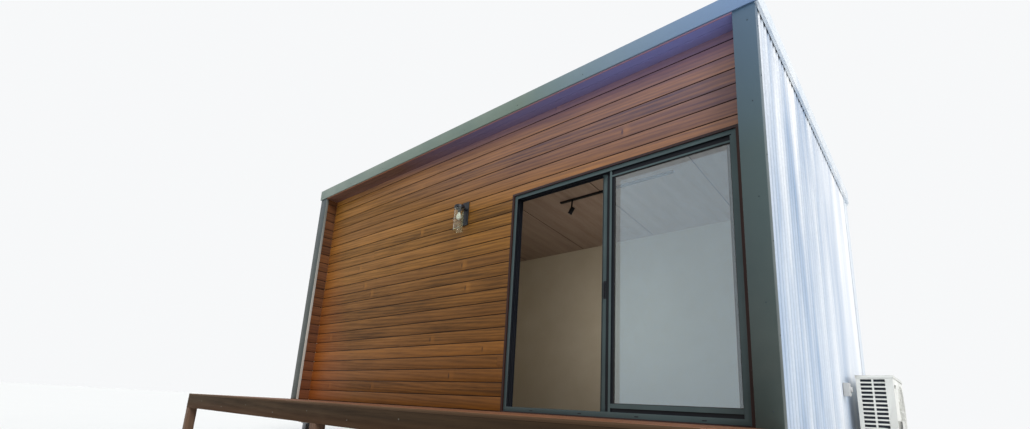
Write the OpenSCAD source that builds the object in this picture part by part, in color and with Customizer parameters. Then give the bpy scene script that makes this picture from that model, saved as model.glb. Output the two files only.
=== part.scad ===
// Garden office pod: a timber-fronted cabin in a metal picture frame, with a sliding door and a deck.
// Origin: centre of the pod's plan, at ground level. +X right, +Y into the pod, +Z up, millimetres.

/* [Pod] */
// Width of the pod over its corner flashings
pod_w = 6160; // [5800:10:7000]
// Depth of the pod from its front flashings to its rear flashings
pod_d = 3390; // [3200:10:4000]
// Height of the fascia's top edge above the deck
front_rise = 3070; // [3000:10:3300]
// Fall of the roof towards the rear, in degrees
roof_pitch = 5.75; // [4:0.25:7]
// Depth of the sheltered front wall behind the flashings
recess = 174; // [140:2:260]

/* [Metalwork] */
// Height of the front fascia
fascia_h = 144; // [130:1:170]
// Distance that the fascia stands proud of the wings
fascia_proud = 10; // [4:1:20]
// Width of the wings that frame the front wall
wing_w = 156; // [150:1:200]
// Metal lip that turns into the recess
wing_lip = 33; // [20:1:60]
// Metal return of the front corner on the side walls
corner_return = 63; // [40:1:100]
// Leg of the rear corner flashing on the side walls
rear_leg = 190; // [120:1:260]
// Leg of the rear corner flashing on the rear wall
rear_back_leg = 80; // [60:1:120]
// Thickness of folded metal
metal_t = 1.6; // [1:0.1:2.4]
// Thickness of the board behind each barge flashing
barge_t = 20; // [16:1:30]
// Depth of the open drip below that board
barge_drip = 30; // [10:1:50]
// Width of the roof capping that turns over the roof's edge
cap_w = 110; // [80:1:150]
// Width and height of the rear gutter
gutter_w = 115; // [90:1:140]

/* [Cladding] */
// Height that one timber board covers
board_cover = 129; // [110:1:150]
// Thickness of the timber boards
board_t = 20; // [16:1:24]
// Height of the shadow groove between boards
groove_h = 8; // [5:1:12]
// Depth of the shadow groove
groove_d = 9; // [5:1:12]
// Thickness of the soffit board, whose front edge shows below the fascia
soffit_t = 12; // [9:1:20]
// Distance between ribs of the corrugated sheet
rib_pitch = 76.2; // [70:0.1:82]
// Height of the ribs of the corrugated sheet
rib_h = 16; // [12:1:20]
// Thickness of the corrugated sheet
sheet_t = 1.2; // [0.8:0.1:2]
// Ribs from one side lap of the sheets to the next
lap_ribs = 10; // [8:1:12]

/* [Walls and roof] */
// Thickness of the framed walls with their linings
wall_t = 100; // [90:1:140]
// Height of the rafters
rafter_h = 80; // [60:1:100]
// Width of the rafters, studs and joists
stick_w = 45; // [35:1:50]
// Spacing of the rafters
rafter_gap = 600; // [450:10:700]
// Thickness of the ceiling panels
ceiling_t = 12; // [9:1:16]
// Width of one ceiling panel
panel_w = 1230; // [900:10:1300]

/* [Floor and deck] */
// Height of the deck above the ground
deck_h = 600; // [550:10:900]
// Height of the pod's floor above the deck
sill_rise = 10; // [4:1:30]
// Height of the joists and of the deck's front beam
joist_h = 140; // [120:5:160]
// Spacing of the joists
joist_gap = 450; // [400:10:600]
// Height of the bearers under the joists
bearer_h = 140; // [120:5:180]
// Width of the bearers and of the deck's front beam
bearer_w = 90; // [70:5:100]
// Width of the square stumps and deck posts
post_w = 90; // [75:5:120]
// Width of the plate at each end of a stump
plate_w = 180; // [150:10:220]
// Thickness of those plates
plate_t = 10; // [8:1:16]
// Distance of the deck's front edge from the pod's front
deck_d = 1230; // [900:10:1600]
// Width of a deck board
deck_board_w = 90; // [70:5:140]
// Gap between deck boards
deck_gap = 5; // [3:1:8]
// Thickness of the deck boards
deck_board_t = 22; // [19:1:30]

/* [Door] */
// Width of the boards between the door's trim and the right-hand return
door_strip = 50; // [40:5:400]
// Width of the door frame
door_w = 2132; // [1900:1:2140]
// Height of the door frame
door_h = 2085; // [1980:1:2150]
// Width of the timber trim round the door frame
trim_w = 22; // [16:1:26]
// Set-back of the door frame's face from the boards
door_set = 8; // [4:1:14]
// Width of the door frame's side and head sections
jamb_w = 36; // [34:1:60]
// Depth of the door frame from its face to its room side
frame_d = 88; // [84:1:110]
// Height of the door frame's sill
sill_h = 40; // [34:1:50]
// Width of the stiles where the two door panels meet
stile_w = 45; // [42:1:56]
// Width of the fixed panel's stile that shows beside the door frame
edge_w = 14; // [12:1:40]
// Height of the fixed panel's top rail that shows below the door frame
head_h = 58; // [40:1:70]
// Height of the rails of the door panels
rail_h = 62; // [50:1:80]
// Thickness of the door panels' frames
panel_t = 28; // [26:1:34]
// Thickness of the glass
glass_t = 6; // [5:1:8]
// How far the open panel's leading edge stands clear of the fixed panel
open_lead = 93; // [90:1:140]
// Height of the door handle's middle above the floor
handle_rise = 1016; // [900:4:1100]
// Length of the door handle
handle_len = 152; // [120:2:200]

/* [Fittings] */
// Middle of the wall light, right of the pod's middle
lamp_x = 10; // [-200:2:200]
// Height of the foot of the wall light's glass above the deck
lamp_z = 1844; // [1700:2:2000]
// Distance of the glass's middle from the boards
lamp_reach = 98; // [90:1:140]
// Diameter of the wall light's glass
lamp_glass_d = 108; // [80:1:120]
// Height of the wall light's glass
lamp_glass_h = 252; // [200:4:300]
// Width of the wall light's back plate
lamp_plate_w = 92; // [80:2:140]
// Left end of the ceiling track, left of the door frame
track_lead = 656; // [200:2:900]
// Length of the ceiling track
track_len = 1600; // [800:10:2400]
// Distance of the ceiling track from the front wall's lining
track_back = 1512; // [800:2:2000]
// Distance of the spotlight from the track's left end
spot_in = 190; // [60:5:400]
// Diameter of the spotlight
spot_d = 58; // [45:1:80]
// Length of the spotlight
spot_len = 98; // [80:2:150]
// Length of the outdoor unit along the side wall
unit_w = 780; // [700:5:860]
// Depth of the outdoor unit away from the wall
unit_d = 270; // [250:1:330]
// Height of the outdoor unit
unit_h = 595; // [540:5:640]
// Height of the outdoor unit's top above the deck
unit_top = 494; // [450:1:600]
// Distance of the outdoor unit's near end from the pod's front
unit_y = 2200; // [2000:10:2400]
// Gap between the outdoor unit and the wall
unit_gap = 65; // [50:1:120]
// Diameter of the outdoor unit's fan opening
fan_d = 464; // [380:2:480]

/* [Hidden] */
$fn = 48;

// Planes of the pod
half_w = pod_w / 2;
front_y = -pod_d / 2;
rear_y = pod_d / 2;
wall_y = front_y + recess;
core_y = wall_y + board_t;
room_y = core_y + wall_t;
floor_z = deck_h + sill_rise;
front_z = deck_h + front_rise;
fall = tan(roof_pitch);

// Levels of the floor's supports
joist_top = deck_h - deck_board_t;
bearer_top = joist_top - joist_h;
stump_top = bearer_top - bearer_h;

// Layers inside the skin: crest of the sheets, wall core and room
crest_x = half_w - metal_t;
core_x = crest_x - rib_h - sheet_t;
room_x = core_x - wall_t;
crest_y = rear_y - metal_t;
rear_core_y = crest_y - rib_h - sheet_t;
rear_room_y = rear_core_y - wall_t;
return_x = half_w - wing_w + metal_t;

// Drops below the top edge of fascia and barges
fit_gap = 0.2;
sheet_drop = metal_t + fit_gap + sheet_t;
rafter_drop = sheet_drop + (rib_h + sheet_t) / cos(roof_pitch);
ceiling_drop = rafter_drop + rafter_h + fit_gap;
room_drop = ceiling_drop + ceiling_t;
skirt = 10;
skirt_z = bearer_top - skirt;
soffit_z = front_z - fascia_h - soffit_t;
fascia_lap = 8;
face_y = front_y - fascia_proud - metal_t;
barge_x = half_w + barge_t + metal_t;

// Door planes
door_x1 = return_x - door_strip - trim_w;
door_x0 = door_x1 - door_w;
door_mid = (door_x0 + door_x1) / 2;
door_top = floor_z + door_h;
trim_x0 = door_x0 - trim_w;
trim_x1 = door_x1 + trim_w;
trim_top = door_top + trim_w;
frame_y = wall_y + door_set;
frame_back = frame_y + frame_d;
clear_x0 = door_x0 + jamb_w;
clear_x1 = door_x1 - jamb_w;
clear_z0 = floor_z + sill_h;
clear_z1 = door_top - jamb_w;
run_gap = 6;
web_t = 6;
slot_d = 18;
slide_y1 = frame_back - run_gap;
slide_y0 = slide_y1 - panel_t - 2 * run_gap;
fixed_y1 = slide_y0 - web_t;
fixed_y0 = fixed_y1 - panel_t;
bite = slot_d - run_gap;
meet_off = 17;
fixed_x0 = door_mid + meet_off;
leaf_w = fixed_x0 + stile_w - (clear_x0 - bite);
leaf_x0 = fixed_x0 - open_lead;
roller_gap = 0.3;
track_h = 5;
roller_r = 13;

function roof_z(y) = front_z - (y - front_y) * fall;
function unit(v) = v / norm(v);
function normal(a, b) = [-unit(b - a)[1], unit(b - a)[0]];
function miter(path, i) =
    i == 0 ? normal(path[0], path[1]) :
    i == len(path) - 1 ? normal(path[i - 1], path[i]) :
    (normal(path[i - 1], path[i]) + normal(path[i], path[i + 1]))
        / (1 + normal(path[i - 1], path[i]) * normal(path[i], path[i + 1]));
function folded(path, t) =
    concat(path, [for (i = [len(path) - 1:-1:0]) path[i] + t * miter(path, i)]);

// A box between two corners
module block(a, b) {
    translate(a)
        cube(b - a);
}
// A flat outline of [y, z] points run along X
module along_x(x0, x1) {
    translate([x0, 0, 0])
        rotate([90, 0, 90])
            linear_extrude(x1 - x0)
                children();
}
// A flat outline of [x, z] points run along Y
module along_y(y0, y1) {
    translate([0, y1, 0])
        rotate([90, 0, 0])
            linear_extrude(y1 - y0)
                children();
}
// An outline of [x, z] points run down the roof's slope, with z measured from the roof's top edge
module down_slope(y0, y1) {
    translate([0, y0, roof_z(y0)])
        rotate([-roof_pitch, 0, 0])
            along_y(0, (y1 - y0) / cos(roof_pitch))
                children();
}
// A wall from x0 to x1 whose top follows the roof
module raked(x0, x1, y0, y1, z0, drop) {
    along_x(x0, x1)
        polygon([[y0, z0], [y1, z0], [y1, roof_z(y1) - drop], [y0, roof_z(y0) - drop]]);
}
module mirrored() {
    children();
    mirror([1, 0, 0])
        children();
}

// Floor and its supports
stump_in = 195;
stump_xs = [for (i = [-2:2]) i * (half_w - stump_in) / 2];
stump_ys = [for (i = [-1:1]) i * (pod_d / 2 - stump_in)];

module stump() {
    block([-plate_w / 2, -plate_w / 2, 0], [plate_w / 2, plate_w / 2, plate_t]);
    block([-post_w / 2, -post_w / 2, 0], [post_w / 2, post_w / 2, stump_top]);
    block([-plate_w / 2, -bearer_w / 2, stump_top - plate_t], [plate_w / 2, bearer_w / 2, stump_top]);
}
module stumps() {
    color("dimgray")
        for (x = stump_xs, y = stump_ys)
            translate([x, y, 0])
                stump();
}
module bearers() {
    color("peru")
        for (y = stump_ys)
            block([-core_x, y - bearer_w / 2, stump_top], [core_x, y + bearer_w / 2, bearer_top]);
}
// Joists evenly spaced from x0 to x1 between two rims, with a little play at their ends
joist_play = 0.4;
module joist_grid(x0, x1, y0, y1, rim0, rim1) {
    count = ceil((x1 - x0 - stick_w) / joist_gap);
    step = (x1 - x0 - stick_w) / count;
    block([x0, y0, bearer_top], [x1, y0 + rim0, joist_top]);
    block([x0, y1 - rim1, bearer_top], [x1, y1, joist_top]);
    for (i = [0:count])
        translate([x0 + i * step, 0, 0])
            block([0, y0 + rim0 + joist_play, bearer_top], [stick_w, y1 - rim1 - joist_play, joist_top]);
}
module floor_joists() {
    color("peru")
        joist_grid(-core_x, core_x, front_y + metal_t, rear_core_y, stick_w, stick_w);
}
module floor() {
    color("burlywood")
        block([-core_x, core_y, joist_top], [core_x, rear_core_y, floor_z]);
}

// Walls
module side_wall() {
    y0 = front_y + metal_t;
    color("linen") {
        along_x(room_x, core_x)
            polygon([
                [y0, joist_top], [core_y, joist_top], [core_y, floor_z], [rear_core_y, floor_z],
                [rear_core_y, roof_z(rear_core_y) - rafter_drop], [y0, roof_z(y0) - rafter_drop]
            ]);
        raked(return_x + board_t, room_x, y0, core_y, joist_top, room_drop);
    }
}
module right_wall() {
    side_wall();
}
module left_wall() {
    mirror([1, 0, 0])
        side_wall();
}
module rear_wall() {
    color("linen")
        raked(-room_x, room_x, rear_room_y, rear_core_y, floor_z, ceiling_drop);
}
module front_wall_left() {
    color("linen")
        raked(-room_x, door_x0, core_y, room_y, floor_z, ceiling_drop);
}
module front_wall_over_door() {
    color("linen")
        raked(door_x0, door_x1, core_y, room_y, door_top, ceiling_drop);
}
module front_wall_right() {
    color("linen")
        raked(door_x1, room_x, core_y, room_y, floor_z, ceiling_drop);
}

// Timber boards with a shadow groove at each joint
function board_face(z0, z1) = [
    for (k = [0:ceil((z1 - deck_h) / board_cover)])
        let (z = deck_h + k * board_cover)
            each [
                [0, z + groove_h], [0, z + board_cover],
                [groove_d, z + board_cover], [groove_d, z + board_cover + groove_h]
            ]
];
module board_section(z0, z1) {
    intersection() {
        polygon(concat(
            [[board_t, deck_h], [groove_d, deck_h], [groove_d, deck_h + groove_h]],
            board_face(z0, z1),
            [[board_t, deck_h + (ceil((z1 - deck_h) / board_cover) + 1) * board_cover + groove_h]]
        ));
        translate([0, z0])
            square([board_t, z1 - z0]);
    }
}
module boards(x0, x1, z0) {
    color("sienna")
        translate([0, wall_y, 0])
            along_x(x0, x1)
                board_section(z0, soffit_z);
}
module boards_left() {
    boards(-return_x, trim_x0, deck_h);
}
module boards_over_door() {
    boards(trim_x0, trim_x1, trim_top);
}
module boards_right() {
    boards(trim_x1, return_x, deck_h);
}
module return_boards() {
    color("sienna")
        mirrored()
            translate([return_x, 0, 0])
                along_y(front_y + metal_t, wall_y)
                    board_section(deck_h, soffit_z);
}
module soffit() {
    color("sienna")
        block([wing_w - half_w, front_y, soffit_z], [half_w - wing_w, core_y, soffit_z + soffit_t]);
}

// Roof
module raked_layer(x0, x1, y0, y1, drop, t) {
    along_x(x0, x1)
        polygon([
            [y0, roof_z(y0) - drop - t], [y1, roof_z(y1) - drop - t],
            [y1, roof_z(y1) - drop], [y0, roof_z(y0) - drop]
        ]);
}
module roof_timbers() {
    count = round((2 * room_x - stick_w) / rafter_gap);
    step = (2 * room_x - stick_w) / count;
    color("peru") {
        for (i = [0:count])
            translate([-room_x + i * step, 0, 0])
                raked_layer(0, stick_w, front_y, rear_core_y, rafter_drop, rafter_h);
        mirrored()
            raked_layer(half_w, half_w + barge_t, front_y, rear_y, metal_t,
                        fascia_h - metal_t - barge_drip);
    }
}
joint_x = -540;
joint_w = 8;
joint_d = 6;
module ceiling() {
    reach = floor((room_x - abs(joint_x)) / panel_w);
    color("tan")
        difference() {
            raked_layer(-room_x, room_x, room_y, rear_room_y, ceiling_drop, ceiling_t);
            for (i = [-reach:reach])
                translate([joint_x + i * panel_w, 0, 0])
                    raked_layer(-joint_w / 2, joint_w / 2, room_y - 1, rear_room_y + 1,
                                room_drop - joint_d, joint_d + 1);
        }
}

// Corrugated sheet: the outline of its ribs from 0 to w, with the crests at the height rib_h.
// Every lap_ribs ribs the next sheet starts, and laps over the last one by a rib and a half, except
// under the metal that covers the last stretch.
rib_steps = 8;
sheet_in = 8;
rear_gap = 2;
roof_in = 20;
roof_over = 40;
lap_len = 1.5 * rib_pitch;
function rib(x) = rib_h / 2 * (1 - cos(360 * x / rib_pitch));
function rib_line(x0, x1) = [
    for (i = [floor(x0 / rib_pitch * rib_steps):floor(x1 / rib_pitch * rib_steps)])
        [i * rib_pitch / rib_steps, rib(i * rib_pitch / rib_steps)]
];
module rib_layer(x0, x1, lift) {
    line = rib_line(x0, x1);
    polygon(concat(
        [for (p = line) p + [0, lift]],
        [for (i = [len(line) - 1:-1:0]) line[i] + [0, lift + sheet_t]]
    ));
}
module sheet_outline(w, covered) {
    laps = floor((w - covered - lap_len) / (lap_ribs * rib_pitch));
    rib_layer(0, w, 0);
    for (k = [1:laps])
        rib_layer(k * lap_ribs * rib_pitch, k * lap_ribs * rib_pitch + lap_len, sheet_t);
}
module roof_sheets() {
    color("silver")
        down_slope(front_y + roof_in, rear_y + roof_over)
            translate([-crest_x, -sheet_drop * cos(roof_pitch) - rib_h - sheet_t])
                sheet_outline(2 * crest_x, cap_w);
}
module side_sheets() {
    start = front_y + metal_t + sheet_in;
    color("gainsboro")
        intersection() {
            translate([core_x, start, skirt_z])
                rotate([0, 0, 90])
                    mirror([0, 1, 0])
                        linear_extrude(front_z - skirt_z)
                            sheet_outline(rear_core_y - 1 - start, rear_leg);
            raked(core_x - 1, half_w, front_y, rear_y, skirt_z, rafter_drop);
        }
}
module right_sheets() {
    side_sheets();
}
module left_sheets() {
    mirror([1, 0, 0])
        side_sheets();
}
module rear_sheets() {
    w = 2 * (crest_x - sheet_in);
    color("gainsboro")
        translate([-w / 2, rear_core_y, skirt_z])
            linear_extrude(roof_z(rear_y) - rafter_drop - rear_gap - skirt_z)
                sheet_outline(w, rear_back_leg);
}

// Folded metalwork
fascia_lip = 12;
module fascia() {
    top_edge = [front_y + cap_w, roof_z(front_y + cap_w)];
    brow = [front_y, front_z];
    top = [face_y, front_z];
    bottom = [face_y, front_z - fascia_h];
    back = [front_y, front_z - fascia_h];
    color("darkslategray") {
        along_x(wing_w - half_w, half_w - wing_w)
            polygon(folded([top_edge, brow, top, bottom, back + [fascia_lip, 0]], metal_t));
        along_x(cap_w - barge_x, barge_x - cap_w)
            polygon(folded([top_edge, brow, top, bottom, back], metal_t));
        along_x(-barge_x, barge_x)
            polygon(folded([top - [0, metal_t], bottom, back], metal_t));
        mirrored()
            block([barge_x - metal_t, face_y, bottom[1]], [barge_x, front_y, front_z - metal_t]);
    }
}
module front_corner_flashings() {
    side = [half_w, front_y + corner_return];
    corner = [half_w, front_y];
    inner = [half_w - wing_w, front_y];
    lip = [half_w - wing_w, front_y + wing_lip];
    color("darkslategray")
        mirrored() {
            translate([0, 0, deck_h])
                linear_extrude(front_z - fascia_h + fascia_lap - deck_h)
                    polygon(folded([side, corner, inner, lip], -metal_t));
            translate([0, 0, skirt_z])
                linear_extrude(deck_h - skirt_z)
                    polygon(folded([side, corner, inner], -metal_t));
        }
}
module rear_corner_flashings() {
    color("gainsboro")
        mirrored()
            translate([0, 0, skirt_z])
                linear_extrude(roof_z(rear_y) - rafter_drop - rear_gap - skirt_z)
                    polygon(folded([
                        [half_w, rear_y - rear_leg],
                        [half_w, rear_y],
                        [half_w - rear_back_leg, rear_y]
                    ], metal_t));
}
module barges() {
    color("gainsboro")
        mirrored() {
            raked_layer(barge_x - cap_w, barge_x, front_y, rear_y, 0, metal_t);
            raked_layer(barge_x - metal_t, barge_x, front_y, rear_y, 0, fascia_h);
        }
}
gutter_gap = 12;
gutter_top = roof_z(rear_y) - rafter_drop - gutter_gap;
gutter_h = 90;
gutter_lip = 12;
gutter_drop = 15;
outlet_in = 150;
outlet_x = outlet_in - half_w;
pipe_d = 65;
pipe_foot = 60;
pipe_mouth = 40;
strap_w = 24;
strap_h = 30;
strap_low = 200;
strap_high = 300;
module gutter() {
    inner = [rear_y, gutter_top];
    outer_top = gutter_top - gutter_drop;
    bottom = gutter_top - gutter_h;
    outer_y = rear_y + gutter_w;
    color("gainsboro") {
        along_x(-half_w, half_w)
            polygon(folded([
                inner, [rear_y, bottom], [outer_y, bottom], [outer_y, outer_top],
                [outer_y - gutter_lip, outer_top]
            ], metal_t));
        for (x = [-half_w, half_w - metal_t])
            along_x(x, x + metal_t)
                polygon([inner, [rear_y, bottom], [outer_y, bottom], [outer_y, outer_top]]);
    }
}
module downpipe() {
    top = gutter_top - gutter_h;
    y = rear_y + gutter_w / 2;
    color("gainsboro") {
        translate([outlet_x, y, pipe_foot])
            difference() {
                cylinder(d = pipe_d, h = top - pipe_foot);
                translate([0, 0, -1])
                    cylinder(d = pipe_d - 2 * metal_t, h = pipe_mouth + 1);
            }
        for (z = [skirt_z + strap_low, top - strap_high])
            block([outlet_x - strap_w / 2, crest_y, z], [outlet_x + strap_w / 2, y, z + strap_h]);
    }
}

// Sliding door: two slots of its frame take the panels
slide_mid = (slide_y0 + slide_y1) / 2;
rail_t = 4;
module door_frame() {
    color([0.13, 0.18, 0.18])
        difference() {
            block([door_x0, frame_y, floor_z], [door_x1, frame_back, door_top]);
            block([clear_x0, frame_y - 1, clear_z0], [clear_x1, frame_back + 1, clear_z1]);
            block([clear_x0 - slot_d, fixed_y0, clear_z0 - slot_d],
                  [clear_x1 + slot_d, fixed_y1, clear_z1 + slot_d]);
            difference() {
                block([clear_x0 - slot_d, slide_y0, clear_z0 - slot_d],
                      [clear_x1 + slot_d, slide_y1, clear_z1 + slot_d]);
                block([clear_x0, slide_mid - rail_t / 2, clear_z0 - slot_d - 1],
                      [clear_x1, slide_mid + rail_t / 2, clear_z0 - slot_d + track_h]);
            }
        }
}
trim_proud = 6;
module door_trim() {
    y = wall_y - trim_proud;
    color("saddlebrown")
        difference() {
            block([trim_x0, y, deck_h], [trim_x1, core_y, trim_top]);
            block([door_x0, y - 1, floor_z], [door_x1, core_y + 1, door_top]);
        }
}
// A glazed panel's frame in the X-Z plane, grooved for its glass
glass_bite = 8;
module panel_frame(x0, x1, z0, z1, y0, left_w, right_w, bottom_h, top_h) {
    mid = y0 + panel_t / 2;
    difference() {
        block([x0, y0, z0], [x1, y0 + panel_t, z1]);
        block([x0 + left_w, y0 - 1, z0 + bottom_h], [x1 - right_w, y0 + panel_t + 1, z1 - top_h]);
        block([x0 + left_w - glass_bite, mid - glass_t / 2, z0 + bottom_h - glass_bite],
              [x1 - right_w + glass_bite, mid + glass_t / 2, z1 - top_h + glass_bite]);
    }
}
module panel_glass(x0, x1, z0, z1, y0, left_w, right_w, bottom_h, top_h) {
    mid = y0 + panel_t / 2;
    block([x0 + left_w - glass_bite, mid - glass_t / 2, z0 + bottom_h - glass_bite],
          [x1 - right_w + glass_bite, mid + glass_t / 2, z1 - top_h + glass_bite]);
}
module fixed_panel() {
    color([0.13, 0.18, 0.18])
        panel_frame(fixed_x0, clear_x1 + slot_d, clear_z0 - slot_d, clear_z1 + slot_d, fixed_y0,
                    stile_w, edge_w + slot_d, rail_h + slot_d, head_h + slot_d);
}
module fixed_glass() {
    color([0.7, 0.8, 0.8, 0.4])
        panel_glass(fixed_x0, clear_x1 + slot_d, clear_z0 - slot_d, clear_z1 + slot_d, fixed_y0,
                    stile_w, edge_w + slot_d, rail_h + slot_d, head_h + slot_d);
}
leaf_y0 = slide_y0 + run_gap;
leaf_z0 = clear_z0 - slot_d + track_h + run_gap;
leaf_z1 = clear_z1 + slot_d - run_gap;
roller_in = 120;
roller_w = 8;
module sliding_panel() {
    roller_z = clear_z0 - slot_d + track_h + roller_gap + roller_r;
    color([0.13, 0.18, 0.18]) {
        panel_frame(leaf_x0, leaf_x0 + leaf_w, leaf_z0, leaf_z1, leaf_y0,
                    stile_w, stile_w, rail_h, stile_w);
        for (x = [leaf_x0 + roller_in, leaf_x0 + leaf_w - roller_in])
            translate([x, slide_mid + roller_w / 2, roller_z])
                rotate([90, 0, 0])
                    cylinder(r = roller_r, h = roller_w);
    }
}
module sliding_glass() {
    color([0.7, 0.8, 0.8, 0.4])
        panel_glass(leaf_x0, leaf_x0 + leaf_w, leaf_z0, leaf_z1, leaf_y0,
                    stile_w, stile_w, rail_h, stile_w);
}
handle_w = 26;
handle_plate = 3;
handle_grip = 11;
module door_handles() {
    half = handle_len / 2;
    color("black")
        for (side = [0, 1])
            translate([leaf_x0 + bite + run_gap, leaf_y0 + side * panel_t, floor_z + handle_rise])
                mirror([0, side, 0]) {
                    block([0, -handle_plate, -half], [handle_w, 0, half]);
                    block([0, -handle_grip, -half], [handle_plate, 0, half]);
                    block([0, -handle_grip, -half], [handle_w / 2, handle_plate - handle_grip, half]);
                }
}

// Deck
deck_front = front_y - deck_d;
deck_pitch = deck_board_w + deck_gap;
module deck_row(start, stop, reach) {
    for (i = [0:ceil((stop - start) / deck_pitch) - 1])
        let (y = start + i * deck_pitch)
            block([-reach, y, joist_top], [reach, min(y + deck_board_w, stop), deck_h]);
}
module deck_boards() {
    color("peru") {
        deck_row(deck_front, front_y - deck_gap, half_w);
        deck_row(front_y, wall_y - deck_gap, return_x - deck_gap);
    }
}
module deck_frame() {
    color("saddlebrown")
        joist_grid(-half_w, half_w, deck_front, front_y, bearer_w, stick_w);
}
module deck_posts() {
    count = 2;
    color("saddlebrown")
        for (i = [0:count])
            translate([-half_w + i * (pod_w - post_w) / count, deck_front, 0])
                block([0, 0, 0], [post_w, post_w, bearer_top]);
}

// Wall light: a back plate, an arm and a cap that holds the glass and the bulb
lamp_y = wall_y - lamp_reach;
lamp_foot = deck_h + lamp_z;
lamp_head = lamp_foot + lamp_glass_h;
lamp_plate_t = 10;
lamp_plate_up = 105;
lamp_plate_down = 166;
lamp_arm_w = 28;
lamp_arm_h = 24;
lamp_glass_t = 3;
cap_h = 36;
holder_d = 30;
holder_h = 46;
bulb_h = 83;
module wall_light() {
    plate_y = wall_y - lamp_plate_t;
    arm_z = lamp_head + (cap_h - lamp_arm_h) / 2;
    color([0.1, 0.1, 0.1]) {
        block([lamp_x - lamp_plate_w / 2, plate_y, lamp_head - lamp_plate_down],
              [lamp_x + lamp_plate_w / 2, wall_y, lamp_head + lamp_plate_up]);
        block([lamp_x - lamp_arm_w / 2, lamp_y, arm_z],
              [lamp_x + lamp_arm_w / 2, plate_y, arm_z + lamp_arm_h]);
        translate([lamp_x, lamp_y, lamp_head])
            cylinder(d = lamp_glass_d + 2 * lamp_glass_t, h = cap_h);
        translate([lamp_x, lamp_y, lamp_head - holder_h])
            cylinder(d = holder_d, h = holder_h + cap_h / 2);
    }
}
module wall_light_glass() {
    color([0.85, 0.9, 0.9, 0.4])
        translate([lamp_x, lamp_y, lamp_foot])
            rotate_extrude()
                translate([lamp_glass_d / 2 - lamp_glass_t, 0])
                    square([lamp_glass_t, lamp_glass_h]);
}
module wall_light_bulb() {
    neck = holder_d / 2 - 2;
    color("white")
        translate([lamp_x, lamp_y, lamp_head - holder_h])
            rotate_extrude()
                polygon([
                    [0, 0], [neck, 0], [neck + 2, -12], [neck + 11, -34], [neck + 14, -50],
                    [neck + 11, -66], [neck + 2, -78], [0, -bulb_h]
                ]);
}

// Track and spotlight under the ceiling
track_w = 34;
track_t = 20;
stem_len = 158;
spot_tilt = 30;
module track_light() {
    x0 = door_x0 - track_lead;
    y = room_y + track_back;
    color([0.08, 0.08, 0.08])
        translate([x0, y, roof_z(y) - room_drop - fit_gap])
            rotate([-roof_pitch, 0, 0]) {
                block([0, -track_w / 2, -track_t], [track_len, track_w / 2, 0]);
                translate([spot_in, 0, -track_t / 2 - stem_len]) {
                    cylinder(d = track_t, h = stem_len);
                    rotate([0, spot_tilt, 0])
                        translate([0, 0, -spot_len / 2])
                            cylinder(d = spot_d, h = spot_len);
                }
            }
}

// Outdoor unit on the right-hand wall
unit_x0 = half_w + unit_gap;
unit_x1 = unit_x0 + unit_d;
unit_y0 = front_y + unit_y;
unit_y1 = unit_y0 + unit_w;
unit_z1 = deck_h + unit_top;
unit_z0 = unit_z1 - unit_h;
lid_h = 22;
lid_lip = 4;
fan_margin = 40;
fan_y = unit_y1 - fan_margin - fan_d / 2;
fan_z = (unit_z0 + unit_z1) / 2;
fan_recess = 60;
fan_gap = 12;
hub_d = 110;
hub_h = 40;
blade_t = 6;
vent_pitch = 35.4;
vent_h = 22;
vent_rib = 14;
vent_in = 32;
vent_out = 58;
vent_depth = 13;
module unit_vents() {
    w = (unit_d - vent_in - vent_out - vent_rib) / 2;
    rows = floor((unit_h - lid_h - 2 * vent_h) / vent_pitch);
    for (x = [vent_in, vent_in + w + vent_rib], row = [1:rows])
        translate([unit_x0 + x, unit_y0 - 1, unit_z1 - lid_h - row * vent_pitch])
            cube([w, vent_depth + 1, vent_h]);
}
// Rings and spokes over the fan
guard_t = 5;
guard_pitch = 26;
module fan_guard() {
    reach = fan_d / 2 + guard_t;
    rotate([0, 90, 0]) {
        for (r = [hub_d / 2:guard_pitch:reach - 2 * guard_t])
            rotate_extrude()
                translate([r, 0])
                    square(guard_t);
        rotate_extrude()
            translate([reach - guard_t, 0])
                square(guard_t);
        cylinder(d = hub_d / 2, h = guard_t);
        for (a = [0:45:135])
            rotate([0, 0, a])
                translate([-reach, -guard_t / 2, 0])
                    cube([2 * reach, guard_t, guard_t]);
    }
}
// Valve cover and carrying grip near the unit's front end, on its outer side
valve_w = 190;
valve_h = 150;
valve_t = 28;
grip_w = 110;
grip_h = 34;
grip_d = 22;
grip_in = 60;
grip_down = 110;
valve_in = 20;
valve_up = 60;
module outdoor_unit() {
    grip_y = unit_y0 + grip_in;
    grip_z = unit_z1 - grip_down;
    valve_y = unit_y0 + valve_in;
    valve_z = unit_z0 + valve_up;
    color("whitesmoke") {
        difference() {
            union() {
                block([unit_x0, unit_y0, unit_z0], [unit_x1, unit_y1, unit_z1 - lid_h]);
                block([unit_x0 - lid_lip, unit_y0 - lid_lip, unit_z1 - lid_h],
                      [unit_x1 + lid_lip, unit_y1 + lid_lip, unit_z1]);
            }
            translate([unit_x1 - fan_recess, fan_y, fan_z])
                rotate([0, 90, 0])
                    cylinder(d = fan_d, h = fan_recess + 1);
            unit_vents();
            block([unit_x1 - grip_d, grip_y, grip_z], [unit_x1 + 1, grip_y + grip_w, grip_z + grip_h]);
        }
        block([unit_x1, valve_y, valve_z], [unit_x1 + valve_t, valve_y + valve_w, valve_z + valve_h]);
        translate([unit_x1, fan_y, fan_z])
            fan_guard();
    }
}
module fan_blade(r) {
    linear_extrude(blade_t)
        polygon(concat(
            [[hub_d / 4, -hub_d / 5], [hub_d / 4, hub_d / 5]],
            [for (a = [50:-10:-20]) r * [cos(a), sin(a)]]
        ));
}
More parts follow.
